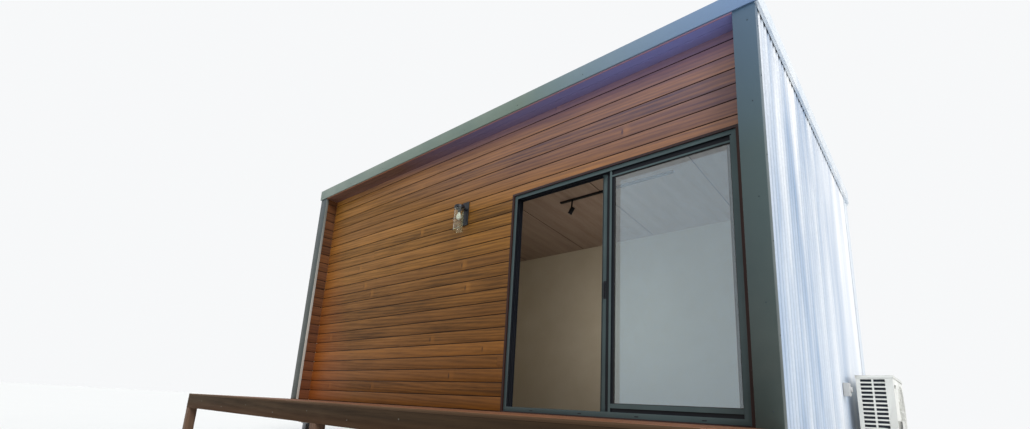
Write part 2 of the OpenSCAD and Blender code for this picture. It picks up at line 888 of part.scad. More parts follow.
module unit_fan() {
    color("dimgray")
        translate([unit_x1 - fan_recess, fan_y, fan_z])
            rotate([0, 90, 0]) {
                cylinder(d = hub_d, h = hub_h);
                for (a = [0:120:240])
                    rotate([0, 0, a])
                        translate([0, 0, (hub_h - blade_t) / 2])
                            fan_blade(fan_d / 2 - fan_gap);
            }
}
bracket_w = 40;
bracket_t = 4;
bracket_h = 300;
bracket_in = 142;
module unit_brackets() {
    color("silver")
        for (y = [unit_y0 + bracket_in, unit_y1 - bracket_in - bracket_w]) {
            block([crest_x, y, unit_z0 - bracket_h], [crest_x + bracket_t, y + bracket_w, unit_z0]);
            block([crest_x, y, unit_z0 - bracket_w], [unit_x1, y + bracket_w, unit_z0]);
        }
}
isolator_w = 80;
isolator_h = 113;
isolator_d = 48;
isolator_gap = 150;
isolator_down = 83;
knob_d = 46;
knob_h = 14;
module isolator() {
    y1 = unit_y0 - isolator_gap;
    z1 = unit_z1 - isolator_down;
    color("lightgray") {
        block([crest_x, y1 - isolator_w, z1 - isolator_h], [crest_x + isolator_d, y1, z1]);
        translate([crest_x + isolator_d, y1 - isolator_w / 2, z1 - isolator_h / 2])
            rotate([0, 90, 0])
                cylinder(d = knob_d, h = knob_h);
    }
}

stumps();
bearers();
floor_joists();
floor();
left_wall();
right_wall();
rear_wall();
front_wall_left();
front_wall_over_door();
front_wall_right();
boards_left();
boards_over_door();
boards_right();
return_boards();
soffit();
roof_timbers();
ceiling();
roof_sheets();
left_sheets();
right_sheets();
rear_sheets();
fascia();
front_corner_flashings();
rear_corner_flashings();
barges();
gutter();
downpipe();
door_frame();
door_trim();
fixed_panel();
fixed_glass();
sliding_panel();
sliding_glass();
door_handles();
deck_boards();
deck_frame();
deck_posts();
wall_light();
wall_light_glass();
wall_light_bulb();
track_light();
outdoor_unit();
unit_fan();
unit_brackets();
isolator();
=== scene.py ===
import math
from functools import cache

import bmesh
import bpy
from bpy.props import FloatProperty, FloatVectorProperty, IntProperty, PointerProperty
from bpy.types import Operator, Panel, PropertyGroup
from mathutils import Matrix, Vector


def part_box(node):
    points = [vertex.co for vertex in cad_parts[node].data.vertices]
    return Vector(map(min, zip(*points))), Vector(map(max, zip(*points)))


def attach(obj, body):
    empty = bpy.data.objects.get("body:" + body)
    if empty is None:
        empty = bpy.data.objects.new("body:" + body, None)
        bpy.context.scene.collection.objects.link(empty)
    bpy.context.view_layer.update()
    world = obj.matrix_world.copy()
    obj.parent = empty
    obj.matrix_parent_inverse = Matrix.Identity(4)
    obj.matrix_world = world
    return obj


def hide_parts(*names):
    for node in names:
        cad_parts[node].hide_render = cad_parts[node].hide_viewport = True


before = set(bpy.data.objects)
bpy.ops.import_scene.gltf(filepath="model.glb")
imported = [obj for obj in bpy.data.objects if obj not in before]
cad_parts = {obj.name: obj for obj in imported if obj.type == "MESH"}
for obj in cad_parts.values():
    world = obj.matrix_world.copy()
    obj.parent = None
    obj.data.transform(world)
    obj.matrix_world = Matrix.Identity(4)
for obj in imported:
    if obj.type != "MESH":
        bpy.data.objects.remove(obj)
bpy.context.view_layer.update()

bl_info = {
    "name": "Garden Office Pod",
    "version": (1, 0, 0),
    "blender": (4, 5, 0),
    "location": "3D View > Sidebar > Pod",
    "description": "Boards, sheets, door fittings and finishes of the garden office pod",
    "category": "Object",
}

# Where the pod's planes lie, taken from the frame
BOARDS_LOW, BOARDS_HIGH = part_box("boards_left")
RETURN_LOW, RETURN_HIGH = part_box("return_boards")
SOFFIT_LOW, SOFFIT_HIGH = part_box("soffit")
SIDE_LOW, SIDE_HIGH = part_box("right_sheets")
REAR_LOW, REAR_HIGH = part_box("rear_sheets")
ROOF_LOW, ROOF_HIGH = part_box("roof_sheets")
FASCIA_LOW, FASCIA_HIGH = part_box("fascia")
WING_LOW, WING_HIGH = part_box("front_corner_flashings")
CORNER_LOW, CORNER_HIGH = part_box("rear_corner_flashings")
BARGE_LOW, BARGE_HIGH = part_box("barges")
DOOR_LOW, DOOR_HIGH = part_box("door_frame")
TRIM_LOW, TRIM_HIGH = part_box("door_trim")
LEAF_LOW, LEAF_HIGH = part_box("sliding_panel")
FIXED_LOW, FIXED_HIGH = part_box("fixed_panel")
GLAZED_LOW, GLAZED_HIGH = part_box("fixed_glass")
PULL_LOW, PULL_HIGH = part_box("door_handles")
DECK_LOW, DECK_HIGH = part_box("deck_boards")
BEAM_LOW, BEAM_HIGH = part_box("deck_frame")
POST_LOW, POST_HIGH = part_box("deck_posts")
SHADE_LOW, SHADE_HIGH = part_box("wall_light_glass")
BULB_LOW, BULB_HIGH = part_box("wall_light_bulb")
UNIT_LOW, UNIT_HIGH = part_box("outdoor_unit")
FAN_LOW, FAN_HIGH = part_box("unit_fan")
ROOF_PITCH = math.radians(5.75)
UP = Vector((0, 0, 1))
SIDES = (1, -1)


def paint(red, green, blue):
    """A colour given as 0 to 255, as the shader nodes take it."""
    shares = (value / 255 for value in (red, green, blue))
    return tuple(v / 12.92 if v <= 0.04045 else ((v + 0.055) / 1.055) ** 2.4 for v in shares)


def colour_setting(name, description, colour):
    return FloatVectorProperty(
        name=name, description=description, default=colour, size=3, min=0, max=1, subtype="COLOR"
    )


def length_setting(name, description, metres, low, high):
    return FloatProperty(
        name=name, description=description, default=metres, min=low, max=high,
        precision=4, unit="LENGTH", subtype="DISTANCE",
    )


def count_setting(name, description, count, low, high):
    return IntProperty(name=name, description=description, default=count, min=low, max=high)


def amount_setting(name, description, amount, low, high, unit="NONE"):
    return FloatProperty(
        name=name, description=description, default=amount, min=low, max=high, unit=unit
    )


class PodTimberSettings(PropertyGroup):
    pale: colour_setting("Pale wood", "Lighter wood of the wall boards", paint(157, 107, 42))
    deep: colour_setting("Deep wood", "Darker wood of the wall boards", paint(80, 53, 19))
    blush: colour_setting("Purple wood", "Tint that some of the boards have", paint(106, 69, 34))
    # Painted sky reflection: cool light laid over the wall boards towards the top right
    shaded: colour_setting("Sky tint", "Cool light over the boards at the top right", paint(44, 66, 104))
    cover: length_setting("Board cover", "Height that one wall board covers", 0.129, 0.1, 0.2)
    groove: length_setting("Groove", "Height of the groove between wall boards", 0.008, 0.002, 0.02)
    groove_depth: length_setting("Groove depth", "Depth of the groove", 0.009, 0.002, 0.018)
    ease: length_setting("Eased edge", "Rounding of the boards' long edges", 0.0018, 0.0005, 0.006)


class PodSheetSettings(PropertyGroup):
    pitch: length_setting("Rib pitch", "Distance between the corrugated ribs", 0.0762, 0.05, 0.1)
    height: length_setting("Rib height", "Height of the ribs", 0.016, 0.01, 0.03)
    thickness: length_setting("Sheet thickness", "Thickness of the sheet", 0.0012, 0.0006, 0.003)
    lap_ribs: count_setting("Ribs to a lap", "Ribs from one side lap to the next", 10, 6, 16)
    screw_ribs: count_setting("Ribs to a screw", "Ribs from one screw to the next", 3, 1, 6)


class PodMetalSettings(PropertyGroup):
    ease: length_setting("Folded edge", "Rounding of the folded metal's edges", 0.0006, 0.0002, 0.003)
    casting_ease: length_setting("Cast edge", "Rounding of frames and housings", 0.0016, 0.0004, 0.006)
    rivet_gap: length_setting("Rivet spacing", "Distance between the fascia's rivets", 0.777, 0.3, 1.2)


class PodStageSettings(PropertyGroup):
    floor_colour: colour_setting("Floor", "Colour of the studio floor", (0.80, 0.80, 0.79))
    backdrop: colour_setting("Backdrop", "Colour behind the pod", (0.93, 0.94, 0.95))
    sky: amount_setting("Sky light", "Strength of the even light all round", 0.85, 0, 4)
    sun: amount_setting("Sun light", "Strength of the soft lamp", 2.0, 0, 10)
    room: amount_setting("Room light", "Power of the soft lamp inside", 20.0, 0, 400, "POWER")
    focal: amount_setting("Focal length", "Lens of the camera", 17.462, 5, 200, "CAMERA")
    rise: amount_setting("Rise", "Upward shift of the lens", 0.0693, -1, 1)


# Small tools


def put_down():
    """Ends edit mode and deselects everything."""
    if bpy.context.mode != "OBJECT":
        bpy.ops.object.mode_set(mode="OBJECT")
    bpy.ops.object.select_all(action="DESELECT")


def pick_up(*parts):
    """Selects these parts alone, with the first one active."""
    put_down()
    for part in parts:
        part.select_set(True)
    bpy.context.view_layer.objects.active = parts[0]


def settled(part, name=None):
    """A part with its place, turn and size put into its mesh, and named if a name is given."""
    pick_up(part)
    bpy.ops.object.transform_apply(location=True, rotation=True, scale=True)
    if name:
        part.name = name
        part.data.name = name
    return part


def edit(part):
    """Opens a part in edit mode, with all of it selected."""
    pick_up(part)
    bpy.ops.object.mode_set(mode="EDIT")
    bpy.ops.mesh.select_all(action="SELECT")


def choose(part, kind, test):
    """Selects the faces, edges or corners that pass a test, in edit mode."""
    bpy.ops.mesh.select_mode(type=kind)
    bpy.ops.mesh.select_all(action="DESELECT")
    mesh = bmesh.from_edit_mesh(part.data)
    for item in {"FACE": mesh.faces, "EDGE": mesh.edges, "VERT": mesh.verts}[kind]:
        if test(item):
            item.select_set(True)
    mesh.select_flush_mode()
    bmesh.update_edit_mesh(part.data)


def runs_along(edge, axis):
    """True for an edge that runs along the named axis."""
    way = (edge.verts[0].co - edge.verts[1].co).normalized()
    return abs(way["XYZ".index(axis)]) > 0.99


def cut(part, place, normal, fill=True):
    """Cuts away what lies beyond a plane."""
    edit(part)
    bpy.ops.mesh.bisect(plane_co=place, plane_no=normal, clear_outer=True, use_fill=fill)
    put_down()
    return part


def use(part, kind, **settings):
    """Adds a modifier and applies it."""
    pick_up(part)
    modifier = part.modifiers.new(kind.title(), kind)
    for key, value in settings.items():
        setattr(modifier, key, value)
    bpy.ops.object.modifier_apply(modifier=modifier.name)
    return part


def smooth(part, degrees=35):
    pick_up(part)
    bpy.ops.object.shade_smooth_by_angle(angle=math.radians(degrees))
    return part


def bar(low, high, ease=0.0, along=None, segments=2):
    """A bar between two corners. Its edges are eased, or only those that run along one axis."""
    low, high = Vector(low), Vector(high)
    put_down()
    bpy.ops.mesh.primitive_cube_add(size=1, location=(low + high) / 2)
    part = bpy.context.active_object
    part.scale = high - low
    settled(part)
    if ease:
        edit(part)
        choose(part, "EDGE", lambda e: not along or runs_along(e, along))
        bpy.ops.mesh.bevel(offset=ease, segments=segments, affect="EDGES", clamp_overlap=True)
        put_down()
    return part


def turned(steps, sides=24, place=(0, 0, 0), axis=UP, angle=35):
    """A turned part: its outline is given as (height, radius) steps along its axis."""
    put_down()
    height, radius = steps[0]
    bpy.ops.mesh.primitive_circle_add(
        vertices=sides, radius=radius, fill_type="NGON", location=(0, 0, height)
    )
    part = settled(bpy.context.active_object)
    edit(part)
    for next_height, next_radius in steps[1:]:
        bpy.ops.mesh.extrude_region_move(
            MESH_OT_extrude_region={"use_dissolve_ortho_edges": False},
            TRANSFORM_OT_translate={"value": (0, 0, next_height - height)},
        )
        share = next_radius / radius
        bpy.ops.transform.resize(value=(share, share, 1), center_override=(0, 0, next_height))
        height, radius = next_height, next_radius
    bpy.ops.mesh.select_all(action="SELECT")
    bpy.ops.mesh.normals_make_consistent(inside=False)
    put_down()
    part.data.transform(facing(place, axis))
    return smooth(part, angle)


def joined(parts):
    """Several loose parts as one."""
    pick_up(*parts)
    if len(parts) > 1:
        bpy.ops.object.join()
    return bpy.context.active_object


def copied(part, places, keep=False):
    """Copies of a part, each with its own mesh, put through the given matrices and joined."""
    copies = []
    for place in places:
        copy = bpy.data.objects.new(part.name, part.data.copy())
        bpy.context.collection.objects.link(copy)
        copy.data.transform(place)
        if place.determinant() < 0:
            copy.data.flip_normals()
        copies.append(copy)
    if not keep:
        bpy.data.objects.remove(part)
    return joined(copies)


def moved(x=0, y=0, z=0):
    return Matrix.Translation((x, y, z))


def scaled(x=1, y=1, z=1):
    return Matrix.Diagonal((x, y, z, 1))


def facing(place, normal):
    """The matrix that puts a part made on the ground, pointing up, at a place on a surface."""
    return moved(*place) @ UP.rotation_difference(Vector(normal)).to_matrix().to_4x4()


def eased(node, width, segments=2, degrees=35):
    """A copy of a frame node with eased edges."""
    put_down()
    part = bpy.data.objects.new(node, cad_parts[node].data.copy())
    bpy.context.collection.objects.link(part)
    edit(part)
    bpy.ops.mesh.remove_doubles(threshold=0.00001)
    bpy.ops.mesh.dissolve_limited(angle_limit=math.radians(0.5))
    put_down()
    use(
        part, "BEVEL", width=width, segments=segments, limit_method="ANGLE",
        angle_limit=math.radians(degrees), use_clamp_overlap=True,
    )
    return smooth(part, degrees)


def dress(part, look, other=None, test=None):
    """Gives a part its finish, and another one to the faces that pass a test."""
    part.data.materials.clear()
    part.data.materials.append(finish(look))
    if other:
        part.data.materials.append(finish(other))
        for face in part.data.polygons:
            face.material_index = int(test(face))


def take(part, name, look, slot, *stands_for, body="pod", angle=None, other=None, test=None):
    """Names a finished part, gives it its finish, and hands it to the frame for the nodes that it
    stands for."""
    settled(part, name)
    if angle:
        smooth(part, angle)
    dress(part, look, other, test)
    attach(part, body)
    if stands_for:
        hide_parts(*stands_for)


def tint(part, value):
    """Gives a part its own tone, which the timber finishes read."""
    attribute = part.data.attributes.get("tone") or part.data.attributes.new("tone", "FLOAT", "POINT")
    attribute.data.foreach_set("value", [value] * len(part.data.vertices))
    return part


def tone_of(number):
    """A tone between 0 and 1 that stays the same for the same board."""
    return (math.sin(number * 12.9898 + 4.137) * 43758.5453) % 1.0


# Shader trees


class Wire:
    """A socket of a shader tree. A sum written with it becomes nodes."""

    def __init__(self, tree, socket):
        self.tree = tree
        self.socket = socket

    def math(self, operation, other=0.0, clamp=False):
        inputs = {0: self, 1: other}
        return self.tree.node("ShaderNodeMath", inputs, operation=operation, use_clamp=clamp)

    def __add__(self, other):
        return self.math("ADD", other)

    def __sub__(self, other):
        return self.math("SUBTRACT", other)

    def __mul__(self, other):
        return self.math("MULTIPLY", other)

    def __truediv__(self, other):
        return self.math("DIVIDE", other)

    def __mod__(self, other):
        return self.math("FLOORED_MODULO", other)

    def ranged(self, low, high, new_low=0.0, new_high=1.0):
        """The value's share of the way from low to high, on a new range and held to it."""
        inputs = {0: self, 1: low, 2: high, 3: new_low, 4: new_high}
        return self.tree.node("ShaderNodeMapRange", inputs, clamp=True)


class Tree:
    """A shader tree under construction, of a material, a shared effect or the world."""

    # Which of the object's axes are read as X, Y and Z where X should run along the named one
    TURNS = {"Y": "YXZ", "Z": "ZXY", "roof": "XZY"}

    def __init__(self, data):
        self.nodes = data.nodes
        self.links = data.links

    def plug(self, value, socket):
        """Links a wire to a socket, or sets the socket to an even value."""
        if isinstance(value, Wire):
            self.links.new(value.socket, socket)
        elif socket.type == "RGBA":
            socket.default_value = (*value[:3], 1.0)
        else:
            socket.default_value = value

    def placed(self, kind, inputs=None, **settings):
        """A new node with its settings and inputs."""
        node = self.nodes.new(kind)
        for key, value in settings.items():
            setattr(node, key, value)
        for key, value in (inputs or {}).items():
            self.plug(value, node.inputs[key])
        return node

    def node(self, kind, inputs=None, out=0, **settings):
        """A wire from one output of a new node."""
        return Wire(self, self.placed(kind, inputs, **settings).outputs[out])

    def effect(self, name, **inputs):
        """The wires from the outputs of a shared effect."""
        given = {key.replace("_", " "): value for key, value in inputs.items()}
        node = self.placed("ShaderNodeGroup", given, node_tree=effect_group(name))
        return {socket.name: Wire(self, socket) for socket in node.outputs}

    def mix(self, factor, first, second, blend="MIX"):
        inputs = {0: factor, 6: first, 7: second}
        return self.node("ShaderNodeMix", inputs, 2, data_type="RGBA", blend_type=blend)

    def vector(self, operation, first, second, out=0):
        return self.node("ShaderNodeVectorMath", {0: first, 1: second}, out, operation=operation)

    def stretch(self, vector, x, y, z):
        return self.vector("MULTIPLY", vector, (x, y, z))

    def noise(self, vector, scale, detail=2.0, roughness=0.5, out="Fac"):
        inputs = {"Vector": vector, "Scale": scale, "Detail": detail, "Roughness": roughness}
        return self.node("ShaderNodeTexNoise", inputs, out)

    def place(self):
        return self.node("ShaderNodeTexCoord", out="Object")

    def axis(self, name, vector=None):
        """One axis of a vector, by default of the object's coordinates."""
        return self.node("ShaderNodeSeparateXYZ", {0: vector or self.place()}, name)

    def turned_place(self, along):
        """The object's coordinates, turned so that X runs along the named axis, or with Y upright
        on the roof."""
        place = self.place()
        if along == "X":
            return place
        parts = self.placed("ShaderNodeSeparateXYZ", {0: place}).outputs
        inputs = {i: Wire(self, parts[axis]) for i, axis in enumerate(self.TURNS[along])}
        return self.node("ShaderNodeCombineXYZ", inputs)


# Knots of the front wall: the board's number from the deck up, the place along it, the size
BOARD_KNOTS = (
    (11, 0.014, 0.016), (11, -1.873, 0.014), (10, -1.702, 0.017), (6, -2.58, 0.014),
    (1, -2.432, 0.015), (1, -1.444, 0.016), (2, -0.049, 0.017), (5, -0.402, 0.015),
    (9, 0.095, 0.017), (15, -0.776, 0.014), (13, -2.05, 0.012), (4, 0.41, 0.013),
    (18, 1.93, 0.015), (22, 1.2, 0.013),
)
KNOT_WANDER = 0.012


def timber_grain(tree, given):
    """Grain that runs along X, with growth rings, streaks and pores, different for each tone."""
    place = tree.vector("ADD", given["Vector"], tree.stretch(given["Tone"], 31.0, 17.0, 23.0))
    rings = tree.node(
        "ShaderNodeTexWave",
        {
            "Vector": tree.stretch(place, 0.035, 1, 1), "Scale": given["Ring scale"],
            "Distortion": 7.0, "Detail": 2.0, "Detail Scale": 0.9, "Detail Roughness": 0.55,
        },
        "Fac", wave_type="BANDS", bands_direction="DIAGONAL", wave_profile="SIN",
    )
    streaks = tree.noise(tree.stretch(place, 1.1, 26, 26), 1.0, 4.0, 0.62)
    pores = tree.noise(tree.stretch(place, 7, 190, 190), 1.0, 2.0, 0.6)
    clouds = tree.noise(tree.stretch(place, 1.1, 3.5, 3.5), 1.0)
    depth = (streaks - 0.5) * 0.85 + 0.5
    for value, share in ((pores, 0.65), (clouds, 0.55), (given["Tone"], 0.47)):
        depth = depth + (value - 0.5) * share
    depth = (depth + (rings - 0.5) * given["Figure"] * 0.36).ranged(0, 1)
    wood = tree.mix(depth, given["Pale"], given["Deep"])
    second_tone = (given["Tone"] * 7.31).math("FRACT")
    wood = tree.mix(second_tone.ranged(0.4, 1.0, 0.0, 0.4), wood, given["Blush"])
    spots = tree.node(
        "ShaderNodeTexVoronoi", {"Vector": tree.stretch(place, 1.3, 7, 7), "Scale": 1.0}, "Distance"
    )
    wood = tree.mix(spots.ranged(0.09, 0.03) * given["Knots"], wood, given["Deep"], "MULTIPLY")
    return {
        "Color": wood, "Height": pores * 0.6 + streaks * 0.3,
        "Roughness": depth.ranged(0.2, 0.9, -0.06, 0.12),
    }


def board_knots(tree, given):
    """Masks of single knots and of the pale patch beside each, where the wall boards have them."""
    flat = tree.stretch(given["Vector"], 1, 0, 1)
    ragged = tree.noise(flat, 60.0, out="Color")
    flat = tree.vector("ADD", flat, tree.stretch(ragged, KNOT_WANDER, 0, KNOT_WANDER))
    cover = bpy.context.scene.pod_timber.cover
    knot = patch = 0.0
    for row, x, radius in BOARD_KNOTS:
        x += KNOT_WANDER / 2
        z = DECK_HIGH.z + (row + 0.5) * cover + KNOT_WANDER / 2
        away, beside = (
            tree.vector(
                "DISTANCE", tree.stretch(flat, wide, 0, tall), ((x + aside) * wide, 0, z * tall), "Value"
            )
            for wide, tall, aside in ((1.5, 0.6, 0.0), (0.6, 0.5, 0.035))
        )
        knot = away.ranged(radius * 1.4, radius * 0.4).math("MAXIMUM", knot)
        patch = beside.ranged(radius * 2.2, radius * 0.6).math("MAXIMUM", patch)
    return {"Knot": knot, "Patch": patch}


def grime(tree, given):
    """A patchy mask that fades from a low level to a high one."""
    fade = tree.axis("Z", given["Vector"]).ranged(given["Low"], given["High"], 1.0, 0.0)
    patches = tree.noise(given["Vector"], given["Scale"], 4.0, 0.6)
    return {"Mask": patches.ranged(0.3, 0.75) * fade}


def zinc_bloom(tree, given):
    """The fine crystals of a zinc coating, and long soft streaks down the sheet that are painted reflections.
    """
    cells = tree.node(
        "ShaderNodeTexVoronoi", {"Vector": given["Vector"], "Scale": given["Crystal scale"]}, "Color"
    )
    grey = tree.node("ShaderNodeRGBToBW", {0: cells})
    streaks = tree.noise(tree.stretch(given["Vector"], 3.2, 3.2, 0.28), 1.0, 4.0, 0.55)
    return {
        "Crystals": grey * 0.7 + tree.noise(given["Vector"], 400.0, 1.0) * 0.3,
        "Streaks": streaks.ranged(0.35, 0.65),
    }


def fine_texture(tree, given):
    """Orange peel of a sprayed or moulded surface, and faint wipe marks."""
    return {
        "Peel": tree.noise(given["Vector"], given["Peel scale"], 1.0),
        "Wipes": tree.noise(given["Vector"], 2.3, 4.0, 0.6),
    }


# The shared effects: what makes each, and its inputs with their even values
EFFECTS = {
    "Timber grain": (timber_grain, {
        "Vector": None, "Tone": 0.5, "Pale": (0.5, 0.3, 0.15, 1), "Deep": (0.2, 0.1, 0.05, 1),
        "Blush": (0.25, 0.12, 0.1, 1), "Ring scale": 12.0, "Figure": 0.5, "Knots": 0.5,
    }),
    "Board knots": (board_knots, {"Vector": None}),
    "Grime": (grime, {"Vector": None, "Low": 0.0, "High": 1.0, "Scale": 4.0}),
    "Zinc bloom": (zinc_bloom, {"Vector": None, "Crystal scale": 60.0}),
    "Fine texture": (fine_texture, {"Vector": None, "Peel scale": 900.0}),
}


@cache
def effect_group(name):
    """A shared effect as a shader group, made when it is first asked for."""
    make, inputs = EFFECTS[name]
    group = bpy.data.node_groups.new(name, "ShaderNodeTree")
    for label, value in inputs.items():
        kind = "Vector" if value is None else "Color" if isinstance(value, tuple) else "Float"
        socket = group.interface.new_socket(label, in_out="INPUT", socket_type=f"NodeSocket{kind}")
        if value is not None:
            socket.default_value = value
    tree = Tree(group)
    given = group.nodes.new("NodeGroupInput").outputs
    wires = make(tree, {socket.name: Wire(tree, socket) for socket in given})
    for label in wires:
        kind = "Color" if label == "Color" else "Float"
        group.interface.new_socket(label, in_out="OUTPUT", socket_type=f"NodeSocket{kind}")
    result = group.nodes.new("NodeGroupOutput").inputs
    for label, wire in wires.items():
        tree.plug(wire, result[label])
    return group


# Finishes

LAP_WIDTH = 1.5  # Ribs that a side lap of the corrugated sheets covers


class Finish(Tree):
    """A material with one Principled shader whose even sockets are set at the start."""

    def __init__(self, name, constants):
        self.material = bpy.data.materials.new(name)
        self.material.use_nodes = True
        self.material.node_tree.nodes.clear()
        super().__init__(self.material.node_tree)
        self.shader = self.placed("ShaderNodeBsdfPrincipled", constants)
        self.placed("ShaderNodeOutputMaterial", {0: Wire(self, self.shader.outputs[0])})

    def made(self, colour, roughness, height, strength, distance):
        """The material, once its colour, its roughness and its bumps are linked."""
        bumps = {"Height": height, "Strength": strength, "Distance": distance}
        self.plug(colour, self.shader.inputs["Base Color"])
        self.plug(roughness, self.shader.inputs["Roughness"])
        self.plug(self.node("ShaderNodeBump", bumps), self.shader.inputs["Normal"])
        return self.material


def shaded(tree, colour, shades):
    """A colour with painted light and shade laid over it in soft gradients. Each is a direction, where it
    starts and ends along it, its strength there, its colour, and how it is laid on."""
    for way, start, end, strength, over, *blend in shades:
        along = tree.vector("DOT_PRODUCT", tree.place(), way, "Value")
        colour = tree.mix(along.ranged(start, end, 0.0, strength), colour, over, *blend)
    return colour


def grimed(tree, colour, low, high, scale, strength, over):
    """A colour with patchy grime over it from a low level to a high one, and the grime's mask."""
    mask = tree.effect("Grime", Vector=tree.place(), Low=low, High=high, Scale=scale)["Mask"] * strength
    return tree.mix(mask, colour, over), mask


def board_tone(tree, axis, start, pitch):
    """A random tone for each board of a row whose boards lie a pitch apart."""
    number = ((tree.axis(axis) - start) / pitch).math("FLOOR")
    return tree.node("ShaderNodeTexWhiteNoise", {"W": number}, "Value", noise_dimensions="1D")


def timber_finish(
    name, pale, deep, blush, along="X", tone=None, rings=12.0, figure=0.5, knots=0.3, rough=0.5,
    bump=0.35, grime_on=None, coat=0.0, rows=None, groove=None, shades=(), single_knots=False, gloss=0.22,
):
    """Timber whose tone comes from the piece's own attribute, from its rows or from one value.
    The groove is given as its start, its pitch and its height."""
    tree = Finish(
        name, {"IOR": 1.5, "Specular IOR Level": gloss, "Coat Weight": coat, "Coat Roughness": 0.25}
    )
    if rows:
        tone = board_tone(tree, *rows)
    elif tone is None:
        tone = tree.node("ShaderNodeAttribute", out="Fac", attribute_name="tone")
    grain = tree.effect(
        "Timber grain", Vector=tree.turned_place(along), Tone=tone, Pale=pale, Deep=deep, Blush=blush,
        Ring_scale=rings, Figure=figure, Knots=knots,
    )
    wood = grain["Color"]
    if single_knots:
        marks = tree.effect("Board knots", Vector=tree.place())
        wood = tree.mix(marks["Patch"] * 0.4, wood, pale)
        wood = tree.mix(marks["Knot"] * 0.8, wood, paint(56, 34, 19))
    wood = shaded(tree, wood, shades)
    # The groove's face is painted dark: painted shade in the shadow gap between the boards
    if groove:
        start, pitch, height = groove
        rise = (tree.axis("Z") - start) % pitch
        wood = tree.mix(rise.ranged(height, height + 0.0012, 0.9, 0.0), wood, paint(38, 22, 17))
    if grime_on:
        low, high, colour = grime_on
        wood, _ = grimed(tree, wood, low, high, 5.0, 0.6, colour)
    return tree.made(wood, grain["Roughness"] + rough, grain["Height"], bump, 0.0012)


def sheet_finish(
    name, bright, reflection_colour, rough=0.36, crystals=0.10, metallic=0.5, ribs=None, level=False, shades=()
):
    """Bare sheet with a zinc-alloy coating. The ribs are given as an axis and where they start, and
    the painted reflection streaks run upright, or along Y on a level sheet."""
    tree = Finish(name, {"Metallic": metallic})
    spangle_and_reflections = tree.effect(
        "Zinc bloom", Vector=tree.turned_place("roof" if level else "X"), Crystal_scale=70.0
    )
    # Painted reflections: soft streaks of a cool reflected colour down the sheet
    colour = tree.mix(spangle_and_reflections["Streaks"] * 0.95, bright, reflection_colour)
    speck = spangle_and_reflections["Crystals"].ranged(0.2, 0.9, 1 - crystals, 1.0)
    colour = tree.mix(1.0, colour, speck, "MULTIPLY")
    if ribs:
        sheet = bpy.context.scene.pod_sheet
        axis, start = ribs
        along = tree.axis(axis) - start
        # Painted shade in the rib valleys, weaker towards the top of the walls
        valley_shade = (along * (2 * math.pi / sheet.pitch)).math("COSINE").ranged(-0.3, 1.0)
        valley_shade = valley_shade * spangle_and_reflections["Streaks"].ranged(0.0, 1.0, 0.45, 1.0)
        if not level:
            valley_shade = valley_shade * tree.axis("Z").ranged(3.2, 2.2, 0.4, 1.0)
        colour = tree.mix(valley_shade, colour, paint(82, 97, 118))
        # A painted shadow line along each side lap's edge
        past_edge = along.math("ABSOLUTE") - LAP_WIDTH * sheet.pitch
        past_edge = past_edge % (sheet.lap_ribs * sheet.pitch)
        edge = past_edge.ranged(0.0, 0.001) * past_edge.ranged(0.013, 0.015, 0.9, 0.0)
        colour = tree.mix(edge, colour, paint(48, 58, 76))
    colour = shaded(tree, colour, shades)
    colour, dirt = grimed(tree, colour, 0.40, 0.9, 6.0, 0.3, paint(120, 110, 96))
    roughness = spangle_and_reflections["Crystals"].ranged(0.2, 0.9, rough - 0.06, rough + 0.08) + dirt
    return tree.made(colour, roughness, spangle_and_reflections["Crystals"], 0.04, 0.001)


def coated_finish(
    name, colour, worn, rough=0.38, metallic=0.0, peel=900.0, bump=0.06, dust=0.25, shades=(), gloss=0.5
):
    """A sprayed, powder-coated or moulded surface with faint wipes and dust."""
    tree = Finish(name, {"Metallic": metallic, "IOR": 1.5, "Specular IOR Level": gloss})
    marks = tree.effect("Fine texture", Vector=tree.place(), Peel_scale=peel)
    base = shaded(tree, tree.mix(marks["Wipes"].ranged(0.35, 0.7), colour, worn), shades)
    if dust:
        base, _ = grimed(tree, base, 0.3, 3.2, 3.0, dust, paint(140, 136, 124))
    roughness = marks["Wipes"].ranged(0.3, 0.7, rough - 0.05, rough + 0.09)
    return tree.made(base, roughness, marks["Peel"], bump, 0.0004)


def glass_finish(name, colour, ior, rough=0.0):
    return Finish(name, {
        "Base Color": colour, "Metallic": 0.0, "Roughness": rough, "IOR": ior, "Transmission Weight": 1.0,
    }).material


def ply_finish(name, pale, deep, blush, first, pitch, gap):
    """Clear plywood with dark open joints a pitch apart along X."""
    tree = Finish(name, {"IOR": 1.5})
    grain = tree.effect(
        "Timber grain", Vector=tree.turned_place("Y"), Tone=board_tone(tree, "X", first, pitch),
        Pale=pale, Deep=deep, Blush=blush, Ring_scale=3.0, Figure=0.6, Knots=0.1,
    )
    from_joint = (tree.axis("X") - first + pitch / 2) % pitch - pitch / 2
    joint = from_joint.math("ABSOLUTE").ranged(gap * 0.5, gap * 0.55, 1.0, 0.0)
    colour = tree.mix(joint, grain["Color"], paint(30, 22, 18))
    return tree.made(colour, grain["Roughness"] + 0.5, grain["Height"], 0.15, 0.0006)


def fin_finish(name, dark, light, pitch):
    """Thin upright fins side by side along X, seen edge on, with painted highlights on their edges and
    painted shade between them.
    """
    tree = Finish(name, {"Metallic": 0.4})
    wave = (tree.axis("X") * (2 * math.pi / pitch)).math("SINE")
    marks = tree.effect("Fine texture", Vector=tree.place(), Peel_scale=300.0)
    colour = tree.mix(wave.ranged(-0.2, 0.9), dark, light)
    colour = tree.mix(marks["Wipes"].ranged(0.3, 0.7, 0.0, 0.35), colour, paint(58, 54, 50))
    return tree.made(colour, marks["Peel"].ranged(0.3, 0.7, 0.5, 0.65), wave, 0.4, 0.0006)


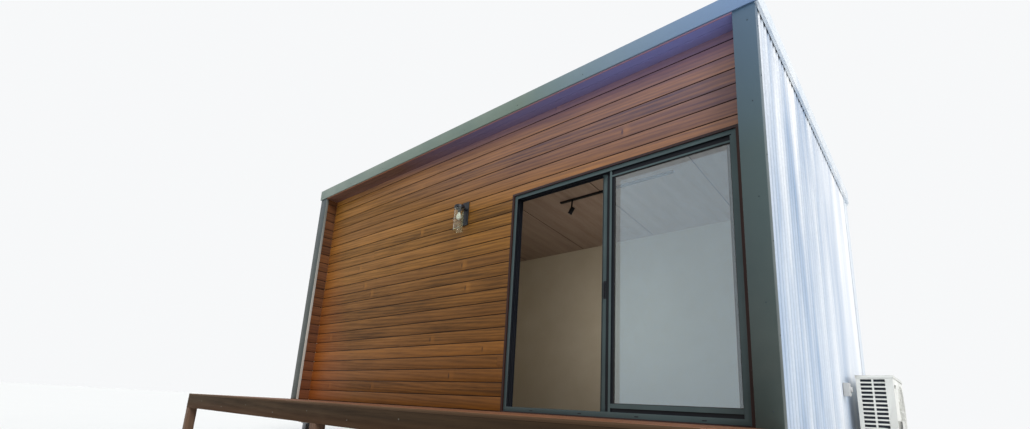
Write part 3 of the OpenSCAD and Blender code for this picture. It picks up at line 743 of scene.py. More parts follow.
def lining_finish(name, colour, worn):
    """Flat wall paint with the faint stipple of a roller."""
    tree = Finish(name, {"IOR": 1.45})
    marks = tree.effect("Fine texture", Vector=tree.place(), Peel_scale=420.0)
    colour = tree.mix(marks["Wipes"].ranged(0.3, 0.7), colour, worn)
    return tree.made(colour, marks["Wipes"].ranged(0.3, 0.7, 0.72, 0.82), marks["Peel"], 0.10, 0.0006)


def recipes():
    """The pod's finishes: what makes each, its colours and its settings."""
    timber = bpy.context.scene.pod_timber
    framing = (paint(168, 138, 100), paint(126, 96, 66), paint(146, 118, 88))
    boards = dict(groove=(DECK_HIGH.z, timber.cover, timber.groove), rings=16, figure=0.8)
    worn_timber = dict(rings=10, figure=0.7, rough=0.7, gloss=0.12)
    x, y, z = (1, 0, 0), (0, 1, 0), (0, 0, 1)
    return {
        "Wall boards": (timber_finish, (timber.pale, timber.deep, timber.blush), dict(
            **boards, single_knots=True, knots=0.2, shades=(
                # Painted sky reflection, added over the boards towards the top right
                ((0.25, 0, 1), 2.75, 4.2, 1.0, timber.shaded, "ADD"),
                # Painted shade: the boards are darker and warmer towards the deck
                (z, 2.4, 1.0, 0.9, paint(206, 186, 124), "MULTIPLY"),
                # Painted warm light: a red-orange glow over the lower left of the wall
                ((-1, 0, -0.35), 1.55, 2.5, 0.5, paint(150, 78, 36)),
                # Painted shade under the soffit, on the top rows towards the right
                ((0.05, 0, 1), 3.38, 3.58, 0.55, paint(102, 88, 126)),
            ))),
        # Painted shade: the reveals' wood is a darker copy of the wall boards' wood, with a painted warm glow
        # towards the foot
        "Return boards": (timber_finish, (paint(112, 72, 42), paint(62, 38, 24), paint(84, 54, 42)), dict(
            **boards, along="Y", shades=((z, 2.2, 0.6, 0.35, paint(122, 66, 42)),))),
        "Soffit boards": (timber_finish, (paint(134, 100, 74), paint(80, 56, 44), paint(106, 80, 78)), dict(
            rings=16, figure=0.6, shades=(
                # Painted sky reflection, bluer towards the right
                (x, -1.2, 2.6, 0.9, paint(134, 144, 214)),
                # Painted shade in the inner corner against the wall
                (y, SOFFIT_HIGH.y - 0.12, SOFFIT_HIGH.y, 0.5, paint(112, 84, 90)),
                # Painted highlight along the soffit's lit front edge
                (y, SOFFIT_LOW.y + 0.009, SOFFIT_LOW.y + 0.006, 0.6, paint(160, 106, 76)),
            ))),
        "Upright trim": (
            timber_finish, (paint(58, 31, 23), paint(33, 17, 14), paint(45, 25, 22)),
            dict(along="Z", tone=0.4)),
        # Painted shade: the level trim is a cooler, darker copy of the upright trim's wood, as the head lies
        # in shade
        "Level trim": (
            timber_finish, (paint(60, 44, 42), paint(36, 27, 30), paint(48, 36, 40)), dict(tone=0.4)),
        "Deck boards": (timber_finish, (paint(142, 94, 62), paint(92, 58, 40), paint(112, 84, 72)), dict(
            rings=14, figure=0.7, rough=0.58, bump=0.5)),
        "Deck beams": (timber_finish, (paint(70, 51, 28), paint(32, 23, 14), paint(48, 37, 26)), dict(
            worn_timber, tone=0.5, bump=0.6, grime_on=(0.0, 0.5, paint(62, 52, 38)), shades=(
                # Painted light: the foot of the beam is lighter and more orange, as light thrown up from the
                # ground
                (z, BEAM_HIGH.z - 0.05, BEAM_LOW.z + 0.01, 0.4, paint(82, 50, 24)),
                # Darker towards the right
                (x, -1.5, 2.5, 0.55, paint(40, 29, 20)),
            ))),
        # Painted shade on the planks' front faces, a darker copy of the deck boards' wood, with a painted
        # highlight left along their top edge
        "Deck edges": (timber_finish, (paint(108, 84, 60), paint(66, 48, 34), paint(84, 66, 52)), dict(
            worn_timber, tone=0.4, rings=14, bump=0.5, shades=(
                # Painted shade below the lit top edge
                (z, DECK_HIGH.z - 0.006, DECK_HIGH.z - 0.012, 0.7, paint(62, 46, 30)),
                # Darker towards the right
                (x, -1.5, 2.5, 0.35, paint(60, 44, 32)),
            ))),
        "Deck joists": (timber_finish, (paint(108, 82, 62), paint(68, 48, 36), paint(86, 68, 60)), dict(
            along="Y", tone=0.45, rings=10, figure=0.7, rough=0.68, bump=0.5)),
        "Deck posts": (timber_finish, (paint(108, 84, 66), paint(70, 50, 40), paint(88, 72, 64)), dict(
            along="Z", tone=0.35, rough=0.7, bump=0.6, grime_on=(0.0, 0.35, paint(96, 88, 76)))),
        "Framing timber": (timber_finish, framing, dict(tone=0.5, rings=9, figure=0.7, rough=0.65)),
        "Framing timber across": (
            timber_finish, framing, dict(along="Y", tone=0.25, rings=9, figure=0.7, rough=0.65)),
        # Painted shade: the roof timbers are near-black, standing in for the shade in the gap above the side
        # sheets
        "Roof framing": (timber_finish, (paint(46, 38, 32), paint(26, 21, 18), paint(36, 30, 28)), dict(
            along="Y", tone=0.4, rings=9, figure=0.7, rough=0.8, gloss=0.1)),
        "Floor boards": (timber_finish, (paint(128, 92, 62), paint(82, 54, 36), paint(104, 74, 54)), dict(
            rings=8, figure=0.8, rough=0.32, bump=0.15, rows=("Y", 0.0, 0.18), coat=0.3)),
        "Ceiling ply": (ply_finish, (paint(176, 157, 142), paint(144, 123, 110), paint(158, 137, 124)), dict(
            first=-0.54, pitch=1.23, gap=0.010)),
        "Wall lining": (lining_finish, (paint(226, 219, 200), paint(219, 211, 190)), {}),
        "Side sheets": (sheet_finish, (paint(252, 253, 254), paint(150, 174, 204)), dict(
            ribs=("Y", SIDE_LOW.y), shades=(
                # Painted reflection: cooler and bluer towards the foot
                (z, 3.3, 1.4, 0.30, paint(170, 190, 214)),
                # Painted sunlight: whiter towards the rear
                (y, -0.1, 1.3, 0.5, paint(254, 254, 255)),
            ))),
        "Rear sheets": (
            sheet_finish, (paint(240, 243, 246), paint(182, 195, 212)), dict(ribs=("X", REAR_HIGH.x))),
        "Roof sheets": (
            sheet_finish, (paint(232, 236, 240), paint(184, 196, 212)),
            dict(ribs=("X", ROOF_LOW.x), level=True)),
        # Painted sunlight on the wings' inner returns, with painted shade under the fascia towards the top
        "Bare folded return": (sheet_finish, (paint(206, 208, 202), paint(186, 190, 190)), dict(
            rough=0.45, metallic=0.2, crystals=0.05, shades=((z, 1.6, 3.3, 0.8, paint(74, 80, 76)),))),
        "Folded sheet": (sheet_finish, (paint(240, 244, 248), paint(216, 228, 240)), {}),
        "Galvanised steel": (sheet_finish, (paint(168, 172, 176), paint(140, 146, 152)), dict(
            rough=0.5, metallic=1.0, crystals=0.3)),
        # Painted sky reflection, bluer towards the right
        "Grey-green flashing": (coated_finish, (paint(104, 120, 109), paint(94, 112, 104)), dict(
            rough=0.36, dust=0.12, shades=((x, 0.9, 3.1, 0.9, paint(106, 134, 176)),))),
        "Dark rivet": (
            coated_finish, (paint(58, 70, 76), paint(46, 56, 62)), dict(rough=0.6, dust=0.1, gloss=0.1)),
        "Corner flashing": (coated_finish, (paint(52, 65, 63), paint(47, 60, 59)), dict(
            rough=0.38, dust=0.08, gloss=0.4, shades=(
                # Painted sky reflection, bluer towards the top
                (z, 1.0, 2.6, 0.45, paint(68, 91, 98)),
                (z, 2.4, 3.5, 0.9, paint(67, 92, 116)),
                # Painted shade on the left-hand wing
                ((-1, 0, 0), 0.0, 2.9, 0.85, paint(44, 52, 48)),
            ))),
        # Painted shade, darker towards the left jamb and the foot
        "Slate door frame": (coated_finish, (paint(72, 88, 90), paint(62, 78, 81)), dict(
            rough=0.40, peel=1400, dust=0.06, gloss=0.2,
            shades=(((-1, 0, -0.3), -2.3, -1.3, 0.5, paint(48, 60, 62)),))),
        # Painted shade: the door's returns and set-back faces are a near-black copy of the slate frame
        "Dark door returns": (coated_finish, (paint(17, 21, 29), paint(13, 16, 23)), dict(
            rough=0.5, peel=1400, dust=0.02, gloss=0.2)),
        "Door glass": (glass_finish, ((0.80, 0.92, 1.0), 1.8), {}),
        "Lamp glass": (glass_finish, ((0.93, 0.94, 0.80), 1.5, 0.04), {}),
        "Black metal": (
            coated_finish, (paint(20, 25, 33), paint(15, 19, 26)), dict(rough=0.4, dust=0.0, gloss=0.35)),
        "Opal bulb": (
            coated_finish, (paint(236, 242, 250), paint(228, 236, 248)), dict(rough=0.2, dust=0.0, bump=0.0)),
        # The coil is real; its near-black colours are painted shade inside the unit
        "Coil fins": (fin_finish, (paint(18, 26, 38), paint(46, 58, 72)), dict(pitch=0.0032)),
        "Off-white casing": (
            coated_finish, (paint(226, 227, 222), paint(217, 218, 213)),
            dict(rough=0.42, peel=1100, dust=0.18)),
        "Dark plastic": (coated_finish, (paint(40, 42, 46), paint(34, 36, 40)), dict(rough=0.5, dust=0.1)),
        "Black seal": (coated_finish, (paint(18, 19, 20), paint(24, 25, 26)), dict(rough=0.62, dust=0.05)),
        "Weathered screw": (
            coated_finish, (paint(104, 100, 92), paint(84, 78, 70)), dict(rough=0.5, metallic=0.6, dust=0.1)),
        "Bright screw": (
            coated_finish, (paint(196, 200, 204), paint(176, 180, 186)),
            dict(rough=0.28, metallic=1.0, dust=0.0)),
        "Grey switch box": (
            coated_finish, (paint(186, 188, 188), paint(176, 178, 180)), dict(rough=0.45, dust=0.15)),
    }


@cache
def finish(name):
    """One of the pod's finishes, made when it is first asked for."""
    make, colours, settings = recipes()[name]
    return make(name, *colours, **settings)


# The nodes that the scene carries over, and the finish of each
NODE_FINISHES = {
    "stumps": "Galvanised steel",
    "bearers": "Framing timber",
    "floor_joists": "Framing timber across",
    "floor": "Floor boards",
    "left_wall": "Wall lining",
    "right_wall": "Wall lining",
    "rear_wall": "Wall lining",
    "front_wall_left": "Wall lining",
    "front_wall_over_door": "Wall lining",
    "front_wall_right": "Wall lining",
    # The roof timbers' finish is painted shade
    "roof_timbers": "Roof framing",
    "ceiling": "Ceiling ply",
    "fixed_glass": "Door glass",
    "sliding_glass": "Door glass",
    "wall_light_glass": "Lamp glass",
}


class POD_OT_finishes(Operator):
    """Gives every carried-over node its finish"""

    bl_idname = "pod.finishes"
    bl_label = "Finishes of the Frame"

    def execute(self, context):
        for node, look in NODE_FINISHES.items():
            dress(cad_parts[node], look)
        return {"FINISHED"}


# Boards

JOINT_GAP = 0.0016
# Rows of the front wall with a butt joint, and where it is along X
BOARD_JOINTS = {3: 0.62, 7: -0.93, 14: -1.72, 19: -0.111}
# Which runs of tones the boards take
WALL_TONES, RETURN_TONES, DECK_TONES = 2792, 71, 5
# How a board made along X lies on the inner face of the right-hand wing
AXES_RETURN = Matrix(((0, 1, 0, 0), (-1, 0, 0, 0), (0, 0, 1, 0), (0, 0, 0, 1)))


def board_blank(face, back):
    """One wall board of a unit length along X, with the tongue that fills the groove below it."""
    s = bpy.context.scene.pod_timber
    part = bar((0, face, DECK_HIGH.z + s.groove), (1, back, DECK_HIGH.z + s.cover))
    tongue_y = face + s.groove_depth
    edit(part)
    bpy.ops.mesh.bisect(plane_co=(0, tongue_y, DECK_HIGH.z), plane_no=(0, 1, 0))
    choose(part, "FACE", lambda f: f.normal.z < -0.9 and f.calc_center_median().y > tongue_y)
    bpy.ops.mesh.extrude_region_move(TRANSFORM_OT_translate={"value": (0, 0, -s.groove)})
    choose(part, "EDGE", lambda e: runs_along(e, "X") and all(abs(v.co.y - face) < 1e-6 for v in e.verts))
    bpy.ops.mesh.bevel(offset=s.ease, segments=2, affect="EDGES")
    put_down()
    return part


class POD_OT_wall_boards(Operator):
    """Boards of the front wall, with their shadow grooves and a few butt joints"""

    bl_idname = "pod.wall_boards"
    bl_label = "Wall Boards"

    def execute(self, context):
        s = context.scene.pod_timber
        left, right = BOARDS_LOW.x, -BOARDS_LOW.x
        blank = board_blank(BOARDS_LOW.y, BOARDS_HIGH.y)
        door_row = int((TRIM_HIGH.z - DECK_HIGH.z) / s.cover)
        boards = []
        for row in range(math.ceil((BOARDS_HIGH.z - DECK_HIGH.z) / s.cover)):
            spans = [(left, TRIM_LOW.x), (TRIM_LOW.x, TRIM_HIGH.x), (TRIM_HIGH.x, right)]
            if row < door_row:
                del spans[1]
            elif row > door_row:
                spans = [(left, right)]
            if row in BOARD_JOINTS:
                start, stop = spans[0]
                joint = BOARD_JOINTS[row]
                spans[0:1] = [(start, joint - JOINT_GAP / 2), (joint + JOINT_GAP / 2, stop)]
            for number, (start, stop) in enumerate(spans):
                place = moved(start, 0, row * s.cover) @ scaled(stop - start)
                board = copied(blank, [place], keep=True)
                past_joint = row in BOARD_JOINTS and number > 0
                tint(board, tone_of(row + WALL_TONES) + (0.06 if past_joint else 0))
                if row == door_row and start == TRIM_LOW.x:
                    cut(board, (0, 0, TRIM_HIGH.z), (0, 0, -1))
                boards.append(board)
        bpy.data.objects.remove(blank)
        take(
            cut(joined(boards), (0, 0, BOARDS_HIGH.z), (0, 0, 1)), "front_wall_boards", "Wall boards",
            "cladding_timber", "boards_left", "boards_over_door", "boards_right", angle=35,
        )
        return {"FINISHED"}


class POD_OT_reveal_boards(Operator):
    """Boards of the two side reveals and of the soffit"""

    bl_idname = "pod.reveal_boards"
    bl_label = "Reveal and Soffit Boards"

    def execute(self, context):
        s = context.scene.pod_timber
        low, high = RETURN_LOW, RETURN_HIGH
        blank = board_blank(-BOARDS_LOW.x, high.x)
        turn = AXES_RETURN @ scaled(high.y - low.y)
        boards = []
        for side in SIDES:
            for row in range(math.ceil((high.z - DECK_HIGH.z) / s.cover)):
                place = scaled(side) @ moved(0, high.y, row * s.cover) @ turn
                boards.append(tint(copied(blank, [place], keep=True), tone_of(row * side + RETURN_TONES)))
        bpy.data.objects.remove(blank)
        take(
            cut(joined(boards), (0, 0, high.z), (0, 0, 1)), "reveal_boards", "Return boards",
            "cladding_timber", "return_boards", angle=35,
        )
        low, high = SOFFIT_LOW, SOFFIT_HIGH
        split, gap = high.y - 0.02 - s.cover * 0.62, 0.004
        strips = [
            tint(bar(low, (high.x, split - gap / 2, high.z), s.ease, "X"), 0.82),
            tint(bar((low.x, split + gap / 2, low.z), high, s.ease, "X"), 0.64),
        ]
        take(joined(strips), "soffit_boards", "Soffit boards", "cladding_timber", "soffit")
        return {"FINISHED"}


# Corrugated sheets

# How a sheet made flat, with its ribs along Y, stands on the right-hand side and on the rear
AXES_RIGHT = Matrix(((0, 0, 1, 0), (1, 0, 0, 0), (0, 1, 0, 0), (0, 0, 0, 1)))
AXES_REAR = Matrix(((-1, 0, 0, 0), (0, 0, 1, 0), (0, 1, 0, 0), (0, 0, 0, 1)))
RIB_STEPS = 12
# Rows of screws above the foot of the walls: three that each wall has, the fourth on the sides
# and the fourth on the rear. The sides' last row follows the roof, this far below their top
WALL_SCREWS = (0.16, 0.95, 1.78)
SIDE_SCREW, REAR_SCREW, TOP_SCREW = 2.60, 2.45, 0.06
# Rows of screws in the roof, from its front edge back along the slope
ROOF_SCREWS = (0.16, 0.9, 1.7, 2.5, 3.24)


def ribbed(width, length, lift=0.0):
    """A corrugated strip whose ribs run along Y, with the crests up."""
    s = bpy.context.scene.pod_sheet
    put_down()
    bpy.ops.mesh.primitive_grid_add(
        x_subdivisions=RIB_STEPS, y_subdivisions=1, size=1, location=(s.pitch / 2, length / 2, 0)
    )
    part = bpy.context.active_object
    part.scale = (s.pitch, length, 1)
    edit(settled(part))
    for k in range(1, RIB_STEPS):
        x = k * s.pitch / RIB_STEPS
        choose(part, "VERT", lambda v: abs(v.co.x - x) < 1e-5)
        rise = s.height / 2 * (1 - math.cos(2 * math.pi * k / RIB_STEPS))
        bpy.ops.transform.translate(value=(0, 0, rise))
    put_down()
    use(
        part, "ARRAY", count=math.ceil(width / s.pitch), use_relative_offset=True,
        relative_offset_displace=(1, 0, 0), use_merge_vertices=True, merge_threshold=0.0005,
    )
    cut(part, (width, 0, 0), (1, 0, 0), fill=False)
    part.data.transform(moved(0, 0, lift))
    return part


def lapped(width, length, last):
    """A run of corrugated sheets with their side laps, none of them in the last stretch."""
    s = bpy.context.scene.pod_sheet
    step, lap_width = s.lap_ribs * s.pitch, LAP_WIDTH * s.pitch
    laps = int((width - last - lap_width) / step)
    lap = ribbed(lap_width, length, s.thickness)
    places = [moved(k * step) for k in range(1, laps + 1)]
    return joined([ribbed(width, length), copied(lap, places)])


def hang_sheet(sheet, name, look, node):
    """Gives a sheet its thickness and hands it to the frame."""
    thickness = bpy.context.scene.pod_sheet.thickness
    use(sheet, "SOLIDIFY", thickness=thickness, offset=1, use_even_offset=True)
    take(sheet, name, look, "corrugated_metal", node, angle=50)


def drive_screws(places, name):
    """Hexagonal screws with their washers, at these places."""
    washer = turned([(0, 0.0082), (0.0012, 0.0082), (0.0022, 0.0068), (0.0030, 0.0062)], 12)
    head = turned([(0.0028, 0.0046), (0.0072, 0.0046), (0.0080, 0.0040)], 6)
    take(copied(joined([washer, head]), places), name, "Bright screw", "plain_metal")


def slope_drop(y, start):
    """How far the roof falls from one place along Y to another."""
    return (y - start) * math.tan(ROOF_PITCH)


class POD_OT_wall_sheets(Operator):
    """Corrugated sheets of the two sides and the rear, with their screws"""

    bl_idname = "pod.wall_sheets"
    bl_label = "Wall Sheets"

    def execute(self, context):
        s = context.scene.pod_sheet
        low, high = SIDE_LOW, SIDE_HIGH
        width = high.y - low.y
        for side, name in zip(SIDES, ("right", "left")):
            sheet = lapped(width, high.z - low.z, 0.19)
            sheet.data.transform(scaled(side) @ moved(*low) @ AXES_RIGHT)
            if side < 0:
                edit(sheet)
                bpy.ops.mesh.flip_normals()
                put_down()
            slope = (0, math.sin(ROOF_PITCH), math.cos(ROOF_PITCH))
            cut(sheet, (0, low.y, high.z), slope, fill=False)
            hang_sheet(sheet, f"{name}_corrugated_sheets", "Side sheets", f"{name}_sheets")
            places = []
            for rib in range(2, int(width / s.pitch) - 2, s.screw_ribs):
                y = low.y + rib * s.pitch
                heights = [low.z + rise for rise in (*WALL_SCREWS, SIDE_SCREW)]
                heights.append(high.z - slope_drop(y, low.y) - TOP_SCREW)
                places += [facing((side * (low.x + s.thickness), y, z), (side, 0, 0)) for z in heights]
            drive_screws(places, f"{name}_sheet_screws")
        low, high = REAR_LOW, REAR_HIGH
        width = high.x - low.x
        sheet = lapped(width, high.z - low.z, 0.08)
        sheet.data.transform(moved(high.x, low.y, low.z) @ AXES_REAR)
        hang_sheet(sheet, "rear_corrugated_sheets", "Rear sheets", "rear_sheets")
        places = [
            facing((high.x - rib * s.pitch, low.y + s.thickness, low.z + rise), (0, 1, 0))
            for rib in range(2, int(width / s.pitch) - 1, s.screw_ribs)
            for rise in (*WALL_SCREWS, REAR_SCREW)
        ]
        drive_screws(places, "rear_sheet_screws")
        return {"FINISHED"}


class POD_OT_roof_sheets(Operator):
    """Corrugated roof sheets with their screws on the crests"""

    bl_idname = "pod.roof_sheets"
    bl_label = "Roof Sheets"

    def execute(self, context):
        s = context.scene.pod_sheet
        width = ROOF_HIGH.x - ROOF_LOW.x
        slope_length = (ROOF_HIGH.y - ROOF_LOW.y) / math.cos(ROOF_PITCH) - 0.0018
        crown = s.height + s.thickness
        turn = Matrix.Rotation(-ROOF_PITCH, 4, "X")
        corner = Vector((ROOF_LOW.x, ROOF_LOW.y, ROOF_HIGH.z)) - turn @ Vector((0, 0, crown))
        slope = moved(*corner) @ turn
        sheet = lapped(width, slope_length, 0.11)
        sheet.data.transform(slope)
        hang_sheet(sheet, "roof_corrugated_sheets", "Roof sheets", "roof_sheets")
        places = [
            slope @ moved((rib + 0.5) * s.pitch, y, crown)
            for rib in range(2, int(width / s.pitch) - 2, s.screw_ribs) for y in ROOF_SCREWS
        ]
        drive_screws(places, "roof_screws")
        return {"FINISHED"}


# Flashings

# How far below a barge's top edge its foot is folded in, and how thick the fold is
FOLD_DROP, FOLD_THICKNESS = 0.1425, 0.001
# Heights of the rivets on the wings' faces, on their sides and on the rear corners: four on both
# faces of a corner, then the top one on its side and on its rear
WING_FACE_RIVETS = (0.70, 1.35, 2.05, 2.75, 3.40)
WING_SIDE_RIVETS = (0.55, 1.15, 1.75, 2.35, 2.95, 3.35)
CORNER_RIVETS, CORNER_TOP_SIDE, CORNER_TOP_REAR = (0.55, 1.2, 1.9, 2.6), 3.15, 3.1
# Where the barges' rivets are along Y
BARGE_RIVETS = (-1.45, -0.85, -0.25, 0.35, 0.95, 1.5)


def raked_strip(x0, x1, y0, y1):
    """A thin fold along the roof's slope, at the foot of a barge."""
    part = bar((x0, y0, 0), (x1, y1, FOLD_THICKNESS))
    edit(part)
    choose(part, "VERT", lambda v: v.co.y > (y0 + y1) / 2)
    bpy.ops.transform.translate(value=(0, 0, -slope_drop(y1, y0)))
    put_down()
    top = BARGE_HIGH.z - slope_drop(y0, BARGE_LOW.y) - FOLD_DROP
    part.data.transform(moved(0, 0, top - FOLD_THICKNESS))
    return part


def barge_folds():
    """The returns folded in at the foot of both barges, behind the wings and the rear corners."""
    ends = WING_HIGH.y + 0.001, CORNER_LOW.y - 0.001
    folds = joined([
        raked_strip(inner, BARGE_HIGH.x - 0.0019, start, stop)
        for inner, start, stop in (
            (WING_HIGH.x + 0.0004, BARGE_LOW.y + 0.002, ends[0]),
            (SIDE_HIGH.x + 0.0003, *ends),
            (WING_HIGH.x + 0.0004, ends[1], BARGE_HIGH.y - 0.002),
        )
    ])
    return copied(folds, [scaled(side) for side in SIDES])


def drive_rivets(places, name, look, slot):
    """Domed rivets at these places."""
    rivet = turned([(0, 0.0046), (0.0012, 0.0044), (0.0022, 0.0030), (0.0026, 0.0014)], 12)
    take(copied(rivet, places), name, look, slot)


def is_wing_inside(face):
    """True for the wings' inner returns, which look towards the front wall's boards and get painted sunlight.
    """
    return abs(face.normal.x) > 0.9 and abs(face.center.x) < WING_HIGH.x - 0.1


class POD_OT_flashings(Operator):
    """Fascia, corner flashings, barges, gutter and downpipe, with their rivets"""

    bl_idname = "pod.flashings"
    bl_label = "Flashings and Gutter"

    def execute(self, context):
        s = context.scene.pod_metal
        for node, name, look, slot in (
            ("fascia", "front_fascia", "Grey-green flashing", "dark_flashing"),
            ("front_corner_flashings", "front_wings", "Corner flashing", "dark_flashing"),
            ("rear_corner_flashings", "rear_corners", "Folded sheet", "plain_metal"),
            ("barges", "barge_flashings", "Folded sheet", "plain_metal"),
            ("gutter", "rear_gutter", "Folded sheet", "plain_metal"),
            ("downpipe", "rear_downpipe", "Folded sheet", "plain_metal"),
        ):
            take(eased(node, s.ease), name, look, slot, node)
        # The wings' inner returns get painted sunlight, with painted shade towards the top
        dress(bpy.data.objects["front_wings"], "Corner flashing", "Bare folded return", is_wing_inside)
        take(barge_folds(), "barge_folds", "Folded sheet", "plain_metal")
        count = int((FASCIA_HIGH.x - 0.15) / s.rivet_gap)
        places = [
            facing((0.08 + k * s.rivet_gap, FASCIA_LOW.y, FASCIA_HIGH.z - 0.095), (0, -1, 0))
            for k in range(-count, count)
        ]
        places += [
            facing((side * (WING_HIGH.x - 0.055), WING_LOW.y, z), (0, -1, 0))
            for side in SIDES for z in WING_FACE_RIVETS
        ]
        places += [
            facing((side * WING_HIGH.x, WING_HIGH.y - 0.018, z), (side, 0, 0))
            for side in SIDES for z in WING_SIDE_RIVETS
        ]
        drive_rivets(places, "flashing_rivets", "Dark rivet", "dark_flashing")
        low, high = CORNER_LOW, CORNER_HIGH
        places = [
            facing((side * high.x, y, z), (side, 0, 0))
            for side in SIDES for y in (low.y + 0.03, high.y - 0.045)
            for z in (*CORNER_RIVETS, CORNER_TOP_SIDE)
        ]
        places += [
            facing((side * (high.x - 0.055), high.y, z), (0, 1, 0))
            for side in SIDES for z in (*CORNER_RIVETS, CORNER_TOP_REAR)
        ]
        for y in BARGE_RIVETS:
            z = BARGE_HIGH.z - slope_drop(y, BARGE_LOW.y) - 0.10
            places += [facing((side * BARGE_HIGH.x, y, z), (side, 0, 0)) for side in SIDES]
        drive_rivets(places, "metal_rivets", "Bright screw", "plain_metal")
        return {"FINISHED"}


# Sliding door

GLASS_BITE = 0.008  # How deep the glass sits in its panel
SASH_STEP = 0.010  # How far the fixed panel's ring in painted shade is set back
HOOK_FOOT, HOOK_TOP = 0.652, 2.656
# Height of the strike's middle, and how far above and below it the screws are
STRIKE_HEIGHT, STRIKE_SCREW = 1.6235, 0.073
DRAIN_CAPS = (1.05, 1.55, 2.05, 2.55)  # Where they are along X


def is_return(face):
    """True for faces that look along the wall or up and down, not in or out."""
    return abs(face.normal.y) < 0.6


def is_frame_inside(face):
    """True for the returns of the door's frame and for its faces between the two outer ones."""
    return is_return(face) or DOOR_LOW.y + 0.004 < face.center.y < DOOR_HIGH.y - 0.004


def is_sash_inside(face):
    """True for the returns of the fixed panel and for its ring that is set back."""
    return is_return(face) or abs(face.center.y - FIXED_LOW.y - SASH_STEP) < 0.0005


def ring(x0, x1, z0, z1, y0, y1, width, ease):
    """A flat rectangular ring in the X-Z plane, between two depths."""
    put_down()
    bpy.ops.mesh.primitive_plane_add(
        size=1, location=((x0 + x1) / 2, y0, (z0 + z1) / 2), rotation=(math.pi / 2, 0, 0)
    )
    part = bpy.context.active_object
    part.scale = (x1 - x0, z1 - z0, 1)
    edit(settled(part))
    bpy.ops.mesh.inset(thickness=width, depth=0)
    bpy.ops.mesh.delete(type="FACE")
    bpy.ops.mesh.select_all(action="SELECT")
    bpy.ops.mesh.extrude_region_move(TRANSFORM_OT_translate={"value": (0, y1 - y0, 0)})
    bpy.ops.mesh.select_all(action="SELECT")
    bpy.ops.mesh.normals_make_consistent(inside=False)
    choose(part, "EDGE", lambda e: len(e.link_faces) == 2 and e.calc_face_angle(0) > 0.5)
    bpy.ops.mesh.bevel(offset=ease, segments=2, affect="EDGES", clamp_overlap=True)
    put_down()
    return part


def pan_screws(radius, places):
    """Pan-head screws with their recesses, at these places."""
    head = turned([(0, radius), (radius * 0.3, radius * 0.96), (radius * 0.55, radius * 0.6)], 16)
    edit(head)
    choose(head, "FACE", lambda f: f.normal.z > 0.9 and len(f.verts) > 8)
    bpy.ops.mesh.inset(thickness=radius * 0.22, depth=-radius * 0.25)
    put_down()
    return copied(head, places)


def fixed_sash(ease):
    """The fixed panel: a ring set back a step, in painted shade, with a face strip on the meeting
    stile, a glazing bead under the head and full faces on the bottom rail and the jamb side."""
    low, high, step = FIXED_LOW, FIXED_HIGH, FIXED_LOW.y + SASH_STEP
    bite = Vector((GLASS_BITE, 0, GLASS_BITE))
    hole_low, hole_high = GLAZED_LOW + bite, GLAZED_HIGH - bite
    parts = [
        bar((low.x, step, low.z), (hole_low.x, high.y, high.z), ease, "Z"),
        bar((hole_high.x, step, low.z), (high.x, high.y, high.z), ease, "Z"),
        bar((hole_low.x, step, low.z), (hole_high.x, high.y, hole_low.z), ease, "X"),
        bar((hole_low.x, step, hole_high.z), (hole_high.x, high.y, high.z), ease, "X"),
    ]
    strip_x = low.x + 0.021
    for x0, z0, x1, z1 in (
        (low.x, low.z, strip_x, high.z),
        (strip_x, hole_low.z - 0.034, hole_high.x, hole_low.z),
        (strip_x, hole_high.z, hole_high.x, hole_high.z + 0.017),
        (hole_high.x, low.z, high.x, high.z),
    ):
        parts.append(bar((x0, low.y, z0), (x1, step + 0.0005, z1), ease * 0.7))
    return joined(parts)


def meeting_hook():
    """The folded strip on the fixed panel's meeting stile that the sliding panel hooks into."""
    x, y = FIXED_LOW.x, FIXED_HIGH.y
    return joined([
        bar((x + x0, y + y0, HOOK_FOOT), (x + x1, y + y1, HOOK_TOP), 0.0006)
        for x0, x1, y0, y1 in (
            (-0.040, 0.004, 0.0010, 0.0030),
            (-0.040, -0.037, 0.0010, 0.0052),
            (0.001, 0.004, -0.0006, 0.0030),
        )
    ])


def glass_seals(node):
    """The two seals round a pane, a little into its panel."""
    low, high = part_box(node)
    inset = GLASS_BITE - 0.0002
    return joined([
        ring(low.x + inset, high.x - inset, low.z + inset, high.z - inset, y0, y1, 0.005, 0.0012)
        for y0, y1 in ((low.y - 0.005, low.y), (high.y, high.y + 0.005))
    ])


def door_pull(side, face):
    """The pull on one face of the sliding panel: its plate, grip, curl, lock and screws."""
    low, high = PULL_LOW, PULL_HIGH
    out, proud, inset = (0, side, 0), 0.0108, 0.012
    plate_y = face + side * 0.003

    def strip(x0, x1, y0, y1, end, ease, segments):
        near, far = sorted((y0, y1))
        return bar((x0, near, low.z + end), (x1, far, high.z - end), ease, segments=segments)

    return [
        strip(low.x, high.x, face, plate_y, 0, 0.0012, 2),
        strip(low.x + 0.001, low.x + 0.006, face, face + side * proud, inset, 0.0018, 3),
        strip(low.x + 0.001, low.x + 0.014, face + side * 0.0070, face + side * proud, inset, 0.0016, 3),
        turned(
            [(0, 0.0062), (0.0018, 0.0060), (0.0024, 0.0050)], 24,
            (high.x - 0.008, plate_y, (low.z + high.z) / 2 - 0.02), out,
        ),
        pan_screws(0.0030, [
            facing((high.x - 0.007, plate_y, z), out) for z in (low.z + inset, high.z - inset)
        ]),
    ]


